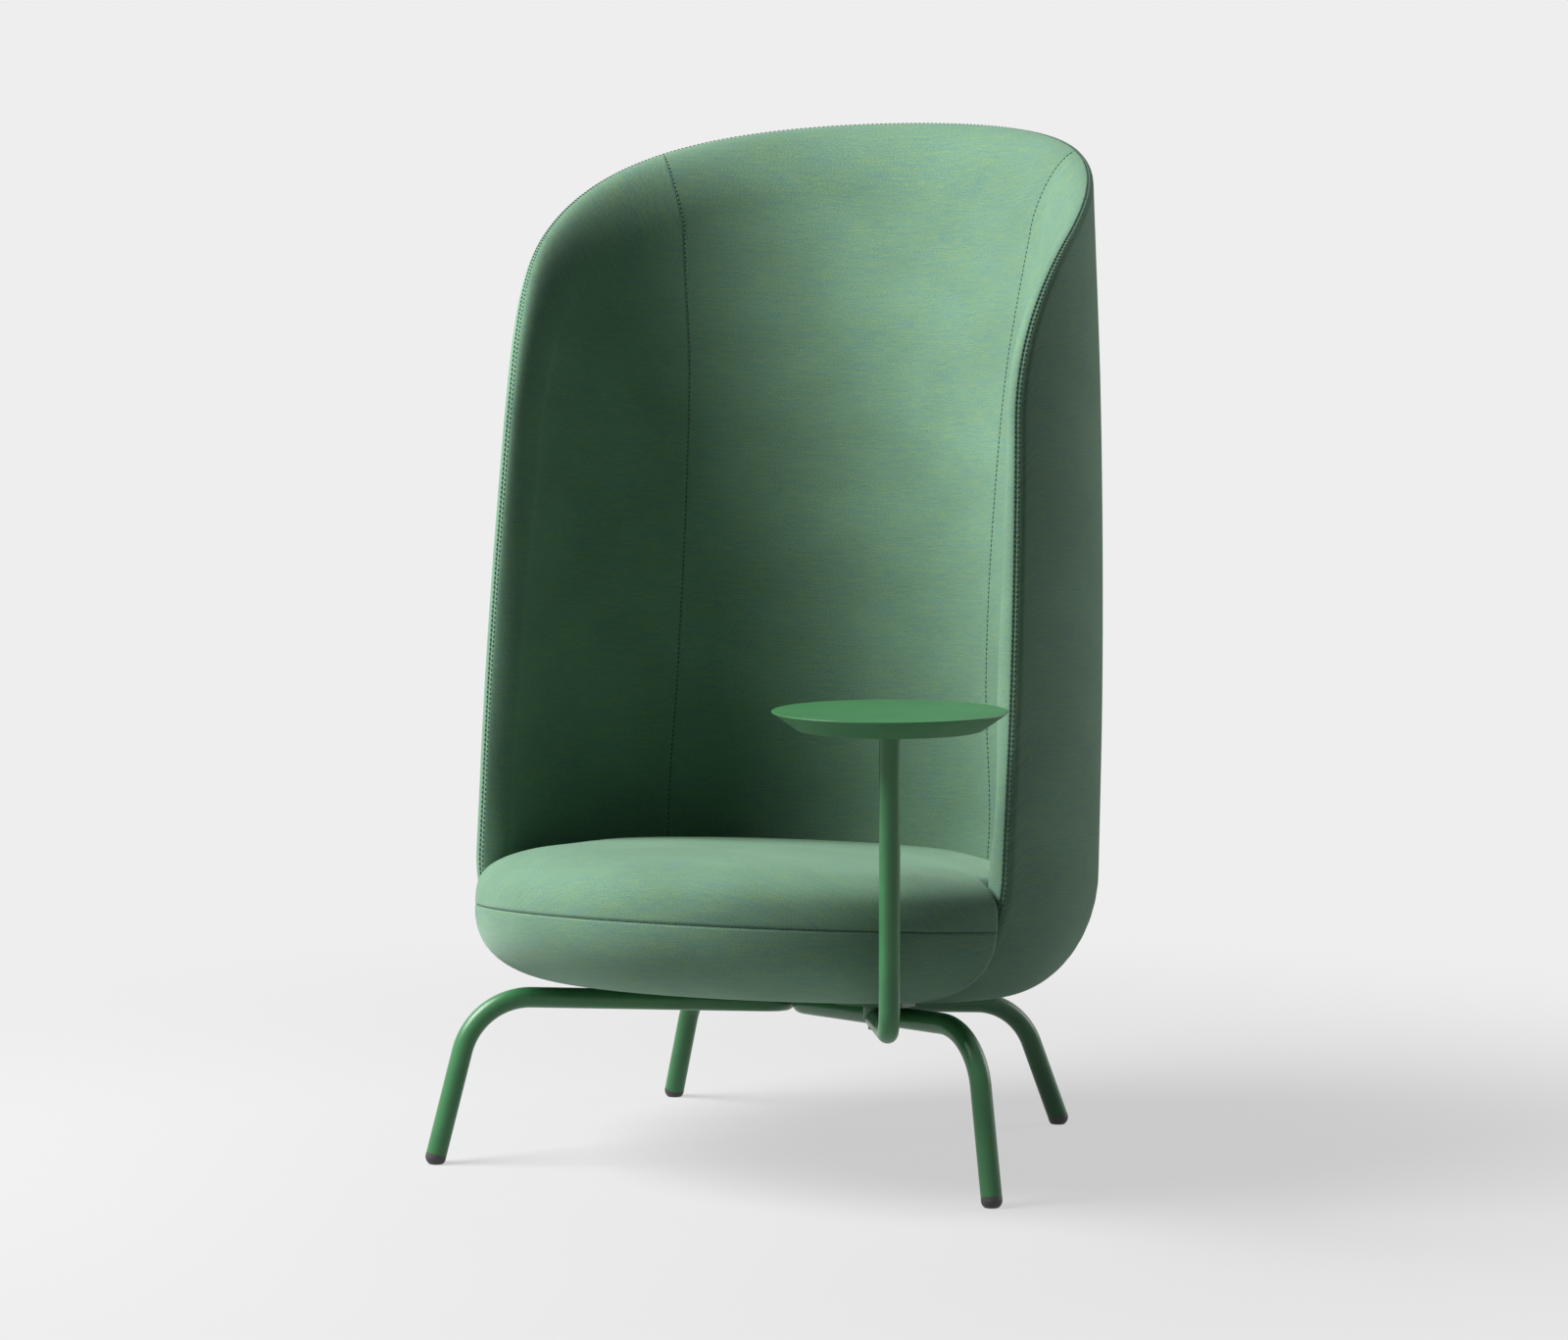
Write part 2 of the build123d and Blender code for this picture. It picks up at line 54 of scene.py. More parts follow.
# hood: a turned outside with its radius at heights, and a hollow of circles at heights
SEAT_BOTTOM, FLAT_R, HOOD_R, SIDE_Z = 22.0, 287.0, 425.0, 193.0
SIDE_HEIGHTS = np.array([193.0, 440.0, 685.0, 870.0, 1050.0, 1330.0])
SIDE_RADII = np.array([425.0, 421.5, 413.0, 403.5, 391.0, 371.0])
HOLLOW_Z = np.array([58.0, 120.0, 220.0, 450.0, 700.0, 900.0, 1130.0, 1330.0])
HOLLOW_Y = np.array([-80.0, -100.0, -109.0, -121.0, -107.0, -83.0, -61.0, -50.0])
HOLLOW_R = np.array([290.0, 335.0, 349.0, 346.0, 342.0, 340.0, 359.0, 388.0])

# rim: its line in side view (y, z), the rounding of its outer corner with the seam at a share
# of it, and the round into the hollow, which is deeper and fuller at the top
RIM_FOOT, RIM_SHOULDER = (-191.0, 0.0), (-167.5, 790.0)
RIM_CREST, RIM_BACK = (-34.0, 1046.0), (400.0, 1258.0)
RIM_LOW, RIM_TURN, RIM_ROUND, SEAM_SHARE = 60.0, 900.0, 10.0, 0.8
QUARTER, CIRCLE = RIM_ROUND * math.pi / 2, 0.5523
ROLL_START, ROLL_WIDTH, ROLL_DEPTHS, ROLL_HEIGHTS = 3.1, 29.0, (36.0, 84.0), (500.0, 1050.0)
ROLL_FULL, FULL_HEIGHTS, ROLL_PAST = (0.12, CIRCLE), (350.0, 950.0), (4.0, 9.0, 14.0)

# lining seams: their angle at heights, and how far they slide outwards over the rim's round
PANEL_Z = np.array([60.0, 220.0, 450.0, 700.0, 900.0, 1000.0, 1130.0, 1250.0])
PANEL_ANGLE = np.radians([43.6, 43.3, 41.7, 42.3, 44.6, 46.4, 48.0, 49.2])
SEAM_END, SLIDE_WIDTH = 24.0, 80.0

# depth and width of the groove that each seam draws, the radius at which the cloth's width is
# measured, and steps beside a seam at which the grids lie closer
RIM_GROOVE, LINING_GROOVE, CUSHION_GROOVE = (1.0, 1.7), (0.7, 1.6), (1.6, 1.8)
COVER_WEAVE_R, LINING_WEAVE_R = 400.0, 345.0
SEAM_STEPS = np.array([0.3, 0.8, 1.5, 2.4, 3.6, 5.2, 7.5, 11.0])
RIM_ROWS = (20.0, 16.0, 13.0, 10.5, 8.5, 7.0, 5.6, 4.4, 3.4, 2.5, 1.7, 1.0, 0.5, 0.0)
CUSHION_ROWS = np.array([0.0, 0.5, 1.1, 1.8, 2.6, 3.6, 5.0, 7.0, 10.0, 14.0])

# threads: pitch, distance of a row from the rim seam, and length, width and height of a stitch;
# drawn about a quarter larger than real ones, so that they show
STITCH_PITCH, STITCH_OFF = 6.5, 2.2
RIM_STITCH, LINING_STITCH = (4.3, 2.2, 1.8), (4.3, 2.4, 1.8)
CUSHION_PITCH, CUSHION_STITCH = 5.0, (5.4, 1.8, 1.4)

# cushion: superellipse powers above and below its seam, and how free of the hood it is at
# degrees past the rim
CUSHION_R, CUSHION_SEAM_Z, CUSHION_TOP_Z, CUSHION_FLAT_R = 425.0, 124.0, 218.0, 276.0
CROWN_POWER, BAND_POWER = 3.5, 2.4
PAST_RIM = (-2.6, -2.2, -1.9, -1.65, -1.45, -1.25, -1.1, -0.95, -0.7, 0.0, 1.5)
CUSHION_FREE = (1.0, 0.99, 0.965, 0.92, 0.85, 0.72, 0.55, 0.36, 0.21, 0.03, 0.0)

# frame tubes: knees in the leaning plane, feet on the floor, and the ends hidden in the glides
TUBE_D, TUBE_GAP, LEG_BEND, CROSSING_BEND = 28.0, 0.3, 95.0, 45.0
KNEE_FRONT, KNEE_REAR = (357.0, -264.0), (245.0, 239.0)
FOOT_FRONT, FOOT_REAR, FOOT_END = (398.0, -263.0), (296.5, 326.5), 13.0

# table: stem, arm under the seat, and board
STEM, ARM_D, ARM_BEND, ARM_ABOVE = (290.0, -355.0), 27.0, 34.0, 34.0
ARM_REACH, ARM_TAIL = 237.0, 13.5
ARM_HEADING, ARM_RISE = math.radians(24.6), math.radians(4.3)
TABLE_Z, TABLE_T, TABLE_R, TABLE_FOOT_R, TABLE_EDGE = 647.0, 24.0, 150.0, 118.0, 2.0
EDGE_TOP_R, EDGE_LOW_R, RECESS_R, RECESS_DEPTH = 0.8, 0.6, 45.2, 4.2


def placed(p):
    """Points of the leaning seat frame, turned by the lean and moved to the crossing, in metres."""
    y, z = p[..., 1] + SEAT_AXIS_Y, p[..., 2]
    c, s = math.cos(LEAN), math.sin(LEAN)
    return np.stack([p[..., 0], FRAME_Y + y * c + z * s, FRAME_Z - y * s + z * c], -1) * MM


def smooth(x, xs, ys):
    """Cubic Hermite curve through the points, with slopes from central differences."""
    slope = np.gradient(ys, xs)
    i = np.clip(np.searchsorted(xs, x) - 1, 0, len(xs) - 2)
    h = xs[i + 1] - xs[i]
    t = (x - xs[i]) / h
    return ((1 + 2 * t) * (1 - t) ** 2 * ys[i] + t * (1 - t) ** 2 * h * slope[i]
            + t * t * (3 - 2 * t) * ys[i + 1] + t * t * (t - 1) * h * slope[i + 1])


def unit(v):
    """Vectors brought to length 1."""
    return v / np.maximum(np.linalg.norm(v, axis=-1, keepdims=True), 1e-12)


def run_length(p):
    """Length along a line of points, from its start."""
    return np.concatenate([[0.0], np.cumsum(np.linalg.norm(np.diff(p, axis=0), axis=1))])


def along(p, s, at):
    """Points of a line at the given lengths."""
    return np.stack([np.interp(at, s, p[:, k]) for k in range(p.shape[1])], -1)


def tangent_arc(start, heading, end, count):
    """Arc that leaves start along heading and reaches end, and its heading there."""
    start, end = np.array(start), np.array(end)
    side = np.array([-heading[1], heading[0]])
    chord = end - start
    r = chord @ chord / (2 * side @ chord)
    centre = start + side * r
    turn = 2 * math.atan2(side @ chord, np.array(heading) @ chord)
    a = np.linspace(0, turn, count)[:, None]
    spoke = start - centre
    p = centre + np.cos(a) * spoke + np.sin(a) * np.array([-spoke[1], spoke[0]])
    ch, sh = math.cos(turn), math.sin(turn)
    return p, (heading[0] * ch - heading[1] * sh, heading[0] * sh + heading[1] * ch)


def rim_line():
    """The rim in side view: a straight front edge, then two tangent arcs to the back."""
    straight = np.linspace(RIM_FOOT, RIM_SHOULDER, 80)
    heading = unit(straight[-1] - straight[0])
    shoulder, heading = tangent_arc(RIM_SHOULDER, tuple(heading), RIM_CREST, 80)
    crest, _ = tangent_arc(RIM_CREST, heading, RIM_BACK, 160)
    return np.concatenate([straight, shoulder[1:], crest[1:]])


RIM = rim_line()
RIM_SLOPE = np.gradient(RIM[:, 0], RIM[:, 1])


def rim_y(z):
    """Place of the rim from front to back at a height."""
    return np.interp(z, RIM[:, 1], RIM[:, 0])


def outside_r(z):
    """Outer radius at a height: quarter ellipse below, slightly barrelled side above."""
    low = np.clip((SIDE_Z - z) / (SIDE_Z - SEAT_BOTTOM), 0, 1)
    bottom = FLAT_R + (HOOD_R - FLAT_R) * np.sqrt(1 - low ** 2)
    return np.where(z < SIDE_Z, bottom, smooth(np.maximum(z, SIDE_Z), SIDE_HEIGHTS, SIDE_RADII))


def inside(angle, z):
    """Point of the hollow: a circle whose centre and radius change with height."""
    r, c = smooth(z, HOLLOW_Z, HOLLOW_R), smooth(z, HOLLOW_Z, HOLLOW_Y)
    return np.stack([r * np.sin(angle), c + r * np.cos(angle), z + 0 * r], -1)


def inside_angle(p):
    """Angle of a point about the middle of the hollow at its height."""
    return np.arctan2(p[..., 0], p[..., 1] - smooth(p[..., 2], HOLLOW_Z, HOLLOW_Y))


def panel_angle(z):
    """Angle of the right lining seam at a height."""
    return smooth(z, PANEL_Z, PANEL_ANGLE)


def meridian():
    """Half outline of the outside as radius and height, to above the rim: the flat underside,
    a quarter ellipse, then the barrelled side."""
    q = np.linspace(0, math.pi / 2, 90)[1:]
    flat = np.stack([np.linspace(0, FLAT_R, FLAT_ROWS), np.full(FLAT_ROWS, SEAT_BOTTOM)], 1)
    low = np.stack([FLAT_R + (HOOD_R - FLAT_R) * np.sin(q),
                    SIDE_Z - (SIDE_Z - SEAT_BOTTOM) * np.cos(q)], 1)
    z = np.linspace(SIDE_Z, SIDE_HEIGHTS[-1], 300)[1:]
    return np.concatenate([flat, low, np.stack([outside_r(z), z], 1)])


FLAT_ROWS = 40
MERIDIAN = meridian()
MERIDIAN_S = run_length(MERIDIAN)


def outside(angle, s):
    """Point of the outside at an angle from the back and a length along the meridian."""
    r, z = np.interp(s, MERIDIAN_S, MERIDIAN[:, 0]), np.interp(s, MERIDIAN_S, MERIDIAN[:, 1])
    return np.stack([r * np.sin(angle), r * np.cos(angle), z], -1)


def outside_normal(angle, s):
    """Direction that the outside faces, square to the meridian."""
    t = unit(np.stack([np.gradient(MERIDIAN[:, k], MERIDIAN_S) for k in (0, 1)], -1))
    dr, dz = np.interp(s, MERIDIAN_S, t[:, 0]), np.interp(s, MERIDIAN_S, t[:, 1])
    return np.stack([dz * np.sin(angle), dz * np.cos(angle), -dr], -1)


def outside_length(p):
    """Length along the meridian to a point of the outside: its radius on the flat underside,
    from its height above that."""
    above = np.interp(p[:, 2], MERIDIAN[FLAT_ROWS:, 1], MERIDIAN_S[FLAT_ROWS:])
    return np.where(p[:, 2] > SEAT_BOTTOM + 1e-6, above, np.hypot(p[:, 0], p[:, 1]))


def half_rim(radius_at, centre_at, z0):
    """Right half of an edge from height z0 to the back: where a round wall meets the rim cut."""
    z = np.linspace(z0, RIM_BACK[1] + 4, 6000)
    top = z[np.argmax(radius_at(z) <= rim_y(z) - centre_at(z))]
    z = top - (top - z0) * np.linspace(1, 0, 2400) ** 2
    y = rim_y(z)
    x = np.sqrt(np.maximum(radius_at(z) ** 2 - (y - centre_at(z)) ** 2, 0))
    x[-1] = 0
    return np.stack([x, y, z], -1)


def edge_frame(line, normal, inward):
    """Direction on a surface square to its edge line, pointing away from the rim."""
    tangent = unit(np.gradient(line, axis=0))
    across = unit(np.cross(normal, tangent))
    return across * np.sign(np.sum(across * inward, -1, keepdims=True))


def rim_cut(edge):
    """Direction that the rim faces in side view."""
    slope = np.interp(edge[:, 2], RIM[:, 1], RIM_SLOPE)
    return unit(np.stack([0 * slope, -1 + 0 * slope, slope], -1))


def roll_depth(edge):
    """How far the rim's round reaches into the hollow: further at the top."""
    return np.interp(edge[:, 2], ROLL_HEIGHTS, ROLL_DEPTHS)


def off_rim(edge, d):
    """Angle and height on the hollow at a distance from its edge, square to the rim."""
    c = smooth(edge[:, 2], HOLLOW_Z, HOLLOW_Y)
    normal = unit(np.stack([-edge[:, 0], c - edge[:, 1], 0 * c], -1))
    p = edge + edge_frame(edge, normal, -rim_cut(edge)) * d[:, None]
    return inside_angle(p), p[:, 2]


def rim_stations():
    """Stations along the rim's right half, closer where the lining seam crosses: below 1 by
    height on the front edge, from 1 to 2 by share of length along the top."""
    outer = half_rim(outside_r, lambda z: 0 * z, RIM_LOW)
    inner = half_rim(lambda z: smooth(z, HOLLOW_Z, HOLLOW_R),
                     lambda z: smooth(z, HOLLOW_Z, HOLLOW_Y), RIM_LOW)

    def at(line, q):
        """Points of a line at stations."""
        s = run_length(line)
        turn = np.interp(RIM_TURN, line[:, 2], s)
        front = np.interp(RIM_LOW + (RIM_TURN - RIM_LOW) * np.minimum(q, 1), line[:, 2], s)
        top = turn + (s[-1] - turn) * np.maximum(q - 1, 0)
        return along(line, s, np.where(q < 1, front, top))

    q = np.linspace(0, 2, 4001)
    p = at(inner, q)
    angle, z = off_rim(p, roll_depth(p) + ROLL_PAST[-1])
    meet = q[np.argmax(angle <= panel_angle(z))]
    close = SEAM_STEPS * 2.1 / run_length(p)[-1]
    q = np.concatenate([np.linspace(0, 1, 150), np.linspace(1, 2, 150)[1:]])
    q = q[np.abs(q - meet) > close[-1] * 1.2]
    q = np.sort(np.concatenate([q, [meet], meet - close, meet + close]))
    return at(outer, q), at(inner, q), int(np.argmin(np.abs(q - meet)))


def both_sides(p):
    """A right half from front to back, carried on to the left."""
    return np.concatenate([p, p[-2::-1] * (-1, 1, 1)])


RIM_OUT, RIM_IN, MEET = rim_stations()
RIM_OUT, RIM_IN = both_sides(RIM_OUT), both_sides(RIM_IN)
LAST = len(RIM_OUT) - 1


def corner(p0, p1, p2, t, k=CIRCLE):
    """Rounded corner: the cubic that is nearest to a quarter circle, or with a smaller k one
    that turns more sharply at its start."""
    a, b = p0 + (p1 - p0) * k, p2 + (p1 - p2) * CIRCLE
    return (1 - t) ** 3 * p0 + 3 * (1 - t) ** 2 * t * a + 3 * (1 - t) * t * t * b + t ** 3 * p2


def groove(d, depth, width):
    """How far a seam draws the cloth in, at a distance from it."""
    return depth * np.exp(-(d / width) ** 2)


def surface(name, pts, uv, flip=False, wrap=False):
    """Quads over a grid of points in metres; wrap joins the last column to the first."""
    rows, cols = pts.shape[:2]
    at = np.arange(rows * cols).reshape(rows, cols)
    if wrap:
        at = np.concatenate([at, at[:, :1]], 1)
    ring = [(0, 0), (1, 0), (1, 1), (0, 1)]
    if flip:
        ring = ring[::-1]
    r, c = at.shape
    quads = np.stack([at[i:r - 1 + i, j:c - 1 + j] for i, j in ring], -1).reshape(-1, 4)
    cloth = np.stack([uv[i:r - 1 + i, j:c - 1 + j] for i, j in ring], 2).reshape(-1, 2)
    mesh = bpy.data.meshes.new(name)
    mesh.from_pydata(pts.reshape(-1, 3), [], quads)
    weave = mesh.uv_layers.new(name="weave")
    weave.data.foreach_set("uv", cloth.astype(np.float32).ravel())
    return closed(name, mesh)


def closed(name, mesh):
    """An object of a mesh whose points that coincide, at poles and seams, are made one."""
    bm = bmesh.new()
    bm.from_mesh(mesh)
    bmesh.ops.remove_doubles(bm, verts=bm.verts, dist=2e-6)
    bmesh.ops.dissolve_degenerate(bm, edges=bm.edges, dist=1e-7)
    bm.to_mesh(mesh)
    bm.free()
    mesh.shade_smooth()
    obj = bpy.data.objects.new(name, mesh)
    bpy.context.scene.collection.objects.link(obj)
    return obj


def outer_cover():
    """The hood's outside as a fan of lines from the middle of the underside to the rim, then
    rows square to the rim that go over its rounded edge and dip into the seam."""
    y0 = float(rim_y(SEAT_BOTTOM))
    chord = np.linspace(0, math.sqrt(FLAT_R ** 2 - y0 ** 2), 60)[:-1]
    z = np.linspace(SEAT_BOTTOM, RIM_LOW, 400)
    side = np.stack([np.sqrt(outside_r(z) ** 2 - rim_y(z) ** 2), rim_y(z), z], -1)
    low = np.concatenate([np.stack([chord, chord * 0 + y0, chord * 0 + SEAT_BOTTOM], -1), side])
    s = run_length(low)
    low = along(low, s, np.linspace(0, s[-1], 70))[:-1]
    edge = np.concatenate([low, RIM_OUT, low[::-1][:-1] * (-1, 1, 1)])
    angle = np.arctan2(edge[:, 0], edge[:, 1])
    angle = np.where(angle <= -math.pi + 1e-9, math.pi, angle)
    normal = outside_normal(angle, outside_length(edge))
    cut = rim_cut(edge)
    tangent = unit(np.roll(edge, -1, 0) - np.roll(edge, 1, 0))
    away = unit(np.cross(normal, tangent))
    away *= np.sign(np.sum(away * -cut, -1, keepdims=True))
    across = unit(np.cross(cut, tangent))
    across *= np.sign(np.sum(across * -normal, -1, keepdims=True))
    n, m = len(low), len(RIM_OUT)
    across[n:n + m] = unit(RIM_IN - RIM_OUT)

    def on_side(d):
        """Angle and meridian length at a distance from the edge, down the outside."""
        p = edge + away * d
        return np.arctan2(p[:, 0], p[:, 1]), outside_length(p)

    seam_s, before = QUARTER * SEAM_SHARE, 18.0
    a_end, s_end = on_side(RIM_ROUND + before)
    a_end = np.where(np.arange(len(a_end)) == 0, math.pi, a_end)
    fan = a_end.copy()
    fan[n:n + m] = np.linspace(a_end[n], a_end[n + m - 1], m)
    grow = np.linspace(0, 1, 64)[:, None]
    rows_a = fan * (1 - grow) + a_end * grow
    rows_s = s_end * grow
    body = outside(rows_a, rows_s)
    weave = [np.stack([rows_a * COVER_WEAVE_R, rows_s], -1)]
    rows = [body]
    p0, p2 = outside(*on_side(RIM_ROUND)), edge + across * RIM_ROUND
    for e in RIM_ROWS:
        if e > seam_s:
            p = outside(*on_side(RIM_ROUND + e - seam_s))
        else:
            p = corner(p0, edge, p2, (seam_s - e) / QUARTER)
        turn = max(0, seam_s - e) / RIM_ROUND
        lift = unit(normal * math.cos(turn) + cut * math.sin(turn))
        rows.append((p - lift * groove(e, *RIM_GROOVE))[None])
        weave.append(np.stack([a_end * COVER_WEAVE_R, s_end + before + RIM_ROUND - e], -1)[None])
    pts, uv = np.concatenate(rows), np.concatenate(weave)
    uv = np.concatenate([uv, uv[:, :1] * (-1, 1)], 1) * MM
    pair = [corner(p0, edge, p2, SEAM_SHARE + d / QUARTER)[n:n + m]
            for d in (-STITCH_OFF, STITCH_OFF)]
    ahead = unit(normal + cut)[n:n + m]
    return surface("hood_cover", placed(pts), uv, flip=True, wrap=True), pair, ahead


def rim_band():
    """Rows from the rim seam over the round of the rim to the hollow, and the angle and height
    of the last: the end of the outer corner, then a wider round into the hollow that is full
    at the top and flatter low down."""
    cut, strip = rim_cut(RIM_IN), unit(RIM_IN - RIM_OUT)
    angle = np.arctan2(RIM_OUT[:, 0], RIM_OUT[:, 1])
    normal = outside_normal(angle, outside_length(RIM_OUT))
    side = RIM_OUT + edge_frame(RIM_OUT, normal, -cut) * RIM_ROUND
    nose = RIM_OUT + strip * RIM_ROUND
    rows, weave, deepness = [], [], roll_depth(RIM_IN)
    for e in (0.0, 0.5, 1.0, 1.6, 2.3):
        t = SEAM_SHARE + e / QUARTER
        lift = unit(normal * math.cos(t * math.pi / 2) + cut * math.sin(t * math.pi / 2))
        rows.append(corner(side, RIM_OUT, nose, t) - lift * groove(e, *RIM_GROOVE))
        weave.append(e + 0 * deepness)
    deep = inside(*off_rim(RIM_IN, deepness))
    arc = math.pi / 2 * np.sqrt((ROLL_WIDTH ** 2 + deepness ** 2) / 2)
    full = np.interp(RIM_IN[:, 2], FULL_HEIGHTS, ROLL_FULL)[:, None]
    for t in np.linspace(0, 1, 26):
        rows.append(corner(nose, RIM_IN, deep, t, full))
        weave.append(ROLL_START + arc * t)
    for d in ROLL_PAST:
        rows.append(inside(*off_rim(RIM_IN, deepness + d)))
        weave.append(ROLL_START + arc + d)
    weave, end = np.array(weave), off_rim(RIM_IN, deepness + ROLL_PAST[-1])
    return swept(np.stack(rows), weave, end[1][MEET]), weave, *end


def swept(rows, weave, z):
    """The band's rows slid along the rim near the lining seams, so that these run on from the
    hollow without a kink and bend a little outwards over the round."""
    seam = inside(panel_angle(z + 2), z + 2) - inside(panel_angle(z - 2), z - 2)
    up = unit(rows[-3, MEET] - rows[-1, MEET])
    side = unit(rows[-1, MEET + 1] - rows[-1, MEET - 1])
    rise, lean = np.linalg.lstsq(np.stack([up, side], 1), seam, rcond=None)[0]
    u = (weave[-1] - weave)[:, MEET]
    slide = lean / rise * u - (lean / rise * u[0] - SEAM_END) * (u / u[0]) ** 2
    s = run_length(RIM_IN)
    near = (np.exp(-((s - s[MEET]) / SLIDE_WIDTH) ** 2)
            - np.exp(-((s - s[LAST - MEET]) / SLIDE_WIDTH) ** 2))
    return np.stack([along(row, s, s + d * near) for row, d in zip(rows, slide)])


def cross_seam(rows, first, last):
    """Dip of the rim's rows where the lining seam crosses them, by length along the rim."""
    s = run_length(RIM_IN)
    d = np.minimum(np.abs(s - s[first]), np.abs(s - s[last]))
    return rows - unit(np.array([0.0, -1.0, 0.6])) * groove(d, *LINING_GROOVE)[:, None]


def sunk(angle, z):
    """Hollow with the lining seam drawn back into the padding."""
    p = inside(angle, z)
    c = smooth(z, HOLLOW_Z, HOLLOW_Y)
    out = unit(np.stack([p[..., 0], p[..., 1] - c, 0 * z], -1))
    d = np.abs(np.abs(angle) - panel_angle(z)) * smooth(z, HOLLOW_Z, HOLLOW_R)
    return p + out * groove(d, *LINING_GROOVE)[..., None]


def linings():
    """The three lining panels. A side panel runs from the lining seam to the rim, the middle
    panel between the seams up to the rim; both then follow the rim's rows to the rim seam."""
    band, band_v, end_a, end_z = rim_band()
    left_meet = LAST - MEET
    band = cross_seam(band, MEET, left_meet)[::-1][1:]
    past = (band_v[-1] - band_v[::-1])[1:]
    made = {}

    def panel(name, cols, a, z, across, up):
        """A grid of angles and heights, then the rim's rows; the cloth runs on over these."""
        weave = np.stack([a * LINING_WEAVE_R, z], -1)
        over = weave[-1][None] + np.stack([across * past[:, cols], up * past[:, cols]], -1)
        pts = np.concatenate([sunk(a, z), band[:, cols]])
        made[name] = surface(name, placed(pts), np.concatenate([weave, over]) * MM)

    z_meet = end_z[MEET]
    for name, cols, sign in (("lining_right", np.arange(0, MEET + 1), 1),
                             ("lining_left", np.arange(left_meet, LAST + 1), -1)):
        s = run_length(RIM_IN[cols])
        share = s / s[-1] if sign > 0 else 1 - s / s[-1]
        seam_z = RIM_LOW + (z_meet - RIM_LOW) * share
        seam_a = sign * panel_angle(seam_z)
        grow = np.linspace(0, 1, 46)[:, None] ** 2
        panel(name, cols, seam_a + (end_a[cols] - seam_a) * grow,
              seam_z + (end_z[cols] - seam_z) * grow, sign, 0)
    cols = np.arange(MEET, left_meet + 1)
    share = end_a[cols] / panel_angle(end_z[cols])
    share[0], share[-1] = 1, -1
    z = RIM_LOW + (end_z[cols] - RIM_LOW) * np.linspace(0, 1, 84)[:, None]
    panel("lining_centre", cols, share * panel_angle(z), z, 0, 1)
    return made, [seam_path(band, 1, MEET, z_meet), seam_path(band, -1, left_meet, z_meet)]


def seam_path(band, sign, col, top):
    """Line and facing of a lining seam: up the hollow, then over the roll to the rim seam."""
    z = np.linspace(150, top, 240)
    a = sign * panel_angle(z)
    face = -np.stack([np.sin(a), np.cos(a), 0 * z], -1)
    over = band[:-4, col]
    turn = unit(np.cross(np.gradient(over, axis=0), RIM_IN[col + 1] - RIM_IN[col - 1]))
    turn = turn * np.sign(turn[0] @ face[-1])
    return np.concatenate([sunk(a, z), over]), np.concatenate([face, turn])


def stitches(name, line, normal, pitch, size):
    """Short rounded threads at a steady pitch along a line: each is a small closed spindle of
    length, width and height, laid along the line and half sunk in the cloth."""
    s = run_length(line)
    at = np.arange(pitch, s[-1] - pitch, pitch)
    p, n = along(line, s, at), unit(along(normal, s, at))
    t = unit(along(line, s, at + 0.5) - along(line, s, at - 0.5))
    b = unit(np.cross(n, t))
    n = np.cross(t, b)
    u, w = np.meshgrid(np.linspace(0, 2 * math.pi, 8, endpoint=False), [-1, -0.75, 0, 0.75, 1])
    ring = np.sqrt(1 - w ** 4)
    x, y, z = w * size[0] / 2, ring * np.cos(u) * size[1] / 2, ring * np.sin(u) * size[2] / 2
    pts = p[:, None, None] + sum(k[None, ..., None] * axis[:, None, None]
                                 for k, axis in ((x, t), (y, b), (z, n)))
    grid = np.arange(u.size).reshape(u.shape)
    grid = np.concatenate([grid, grid[:, :1]], 1)
    quad = np.stack([grid[:-1, :-1], grid[:-1, 1:], grid[1:, 1:], grid[1:, :-1]], -1).reshape(-1, 4)
    quads = (quad[None] + (np.arange(len(at)) * u.size)[:, None, None]).reshape(-1, 4)
    mesh = bpy.data.meshes.new(name)
    mesh.from_pydata(placed(pts.reshape(-1, 3)), [], quads)
    return closed(name, mesh)


def round_path(points, radii, step=4.0):
    """A line of straight runs with each inner corner rounded by an arc of its radius."""
    p = [np.array(q, float) for q in points]
    line = [p[0][None]]
    for a, b, c, r in zip(p[:-2], p[1:-1], p[2:], radii):
        back, on = unit(a - b), unit(c - b)
        half = math.acos(max(-1, min(1, back @ on))) / 2
        centre = b + unit(back + on) * r / math.sin(half)
        start, end = b + back * r / math.tan(half), b + on * r / math.tan(half)
        turn = math.pi - 2 * half
        w = np.linspace(0, 1, max(6, int(turn * r / step)))[:, None]
        e0, e1 = start - centre, end - centre
        line.append(centre + (np.sin((1 - w) * turn) * e0 + np.sin(w * turn) * e1) / math.sin(turn))
    line.append(p[-1][None])
    return np.concatenate(line)


def bent_tube(name, points, radii, d, sides=40):
    """A circle carried along a bent line, with flat ends; each ring's frame is the last one
    turned the least."""
    line = round_path(points, radii)
    ends = line[[0, -1]] + unit(line[[1, -2]] - line[[0, -1]]) * 0.5
    line = np.concatenate([line[:1], ends[:1], line[1:-1], ends[1:], line[-1:]])
    t = unit(np.gradient(line, axis=0))
    t[0], t[-1] = unit(line[1] - line[0]), unit(line[-1] - line[-2])
    n = unit(np.cross(t[0], [0.3, 0.5, 0.81]))
    frames = []
    for d_t in t:
        n = unit(n - d_t * (n @ d_t))
        frames.append(n)
    n = np.array(frames)
    b = np.cross(t, n)
    a = np.linspace(0, 2 * math.pi, sides, endpoint=False)
    ring = np.cos(a)[None, :, None] * n[:, None] + np.sin(a)[None, :, None] * b[:, None]
    pts = line[:, None] + ring * d / 2
    line = np.concatenate([line[:1], line, line[-1:]])
    pts = np.concatenate([line[:1, None] + 0 * ring[:1], pts, line[-1:, None] + 0 * ring[:1]])
    s = run_length(line)
    uv = np.stack(np.meshgrid(np.linspace(0, math.pi * d, sides + 1), s), -1)
    return surface(name, pts * MM, uv * MM, flip=True, wrap=True)


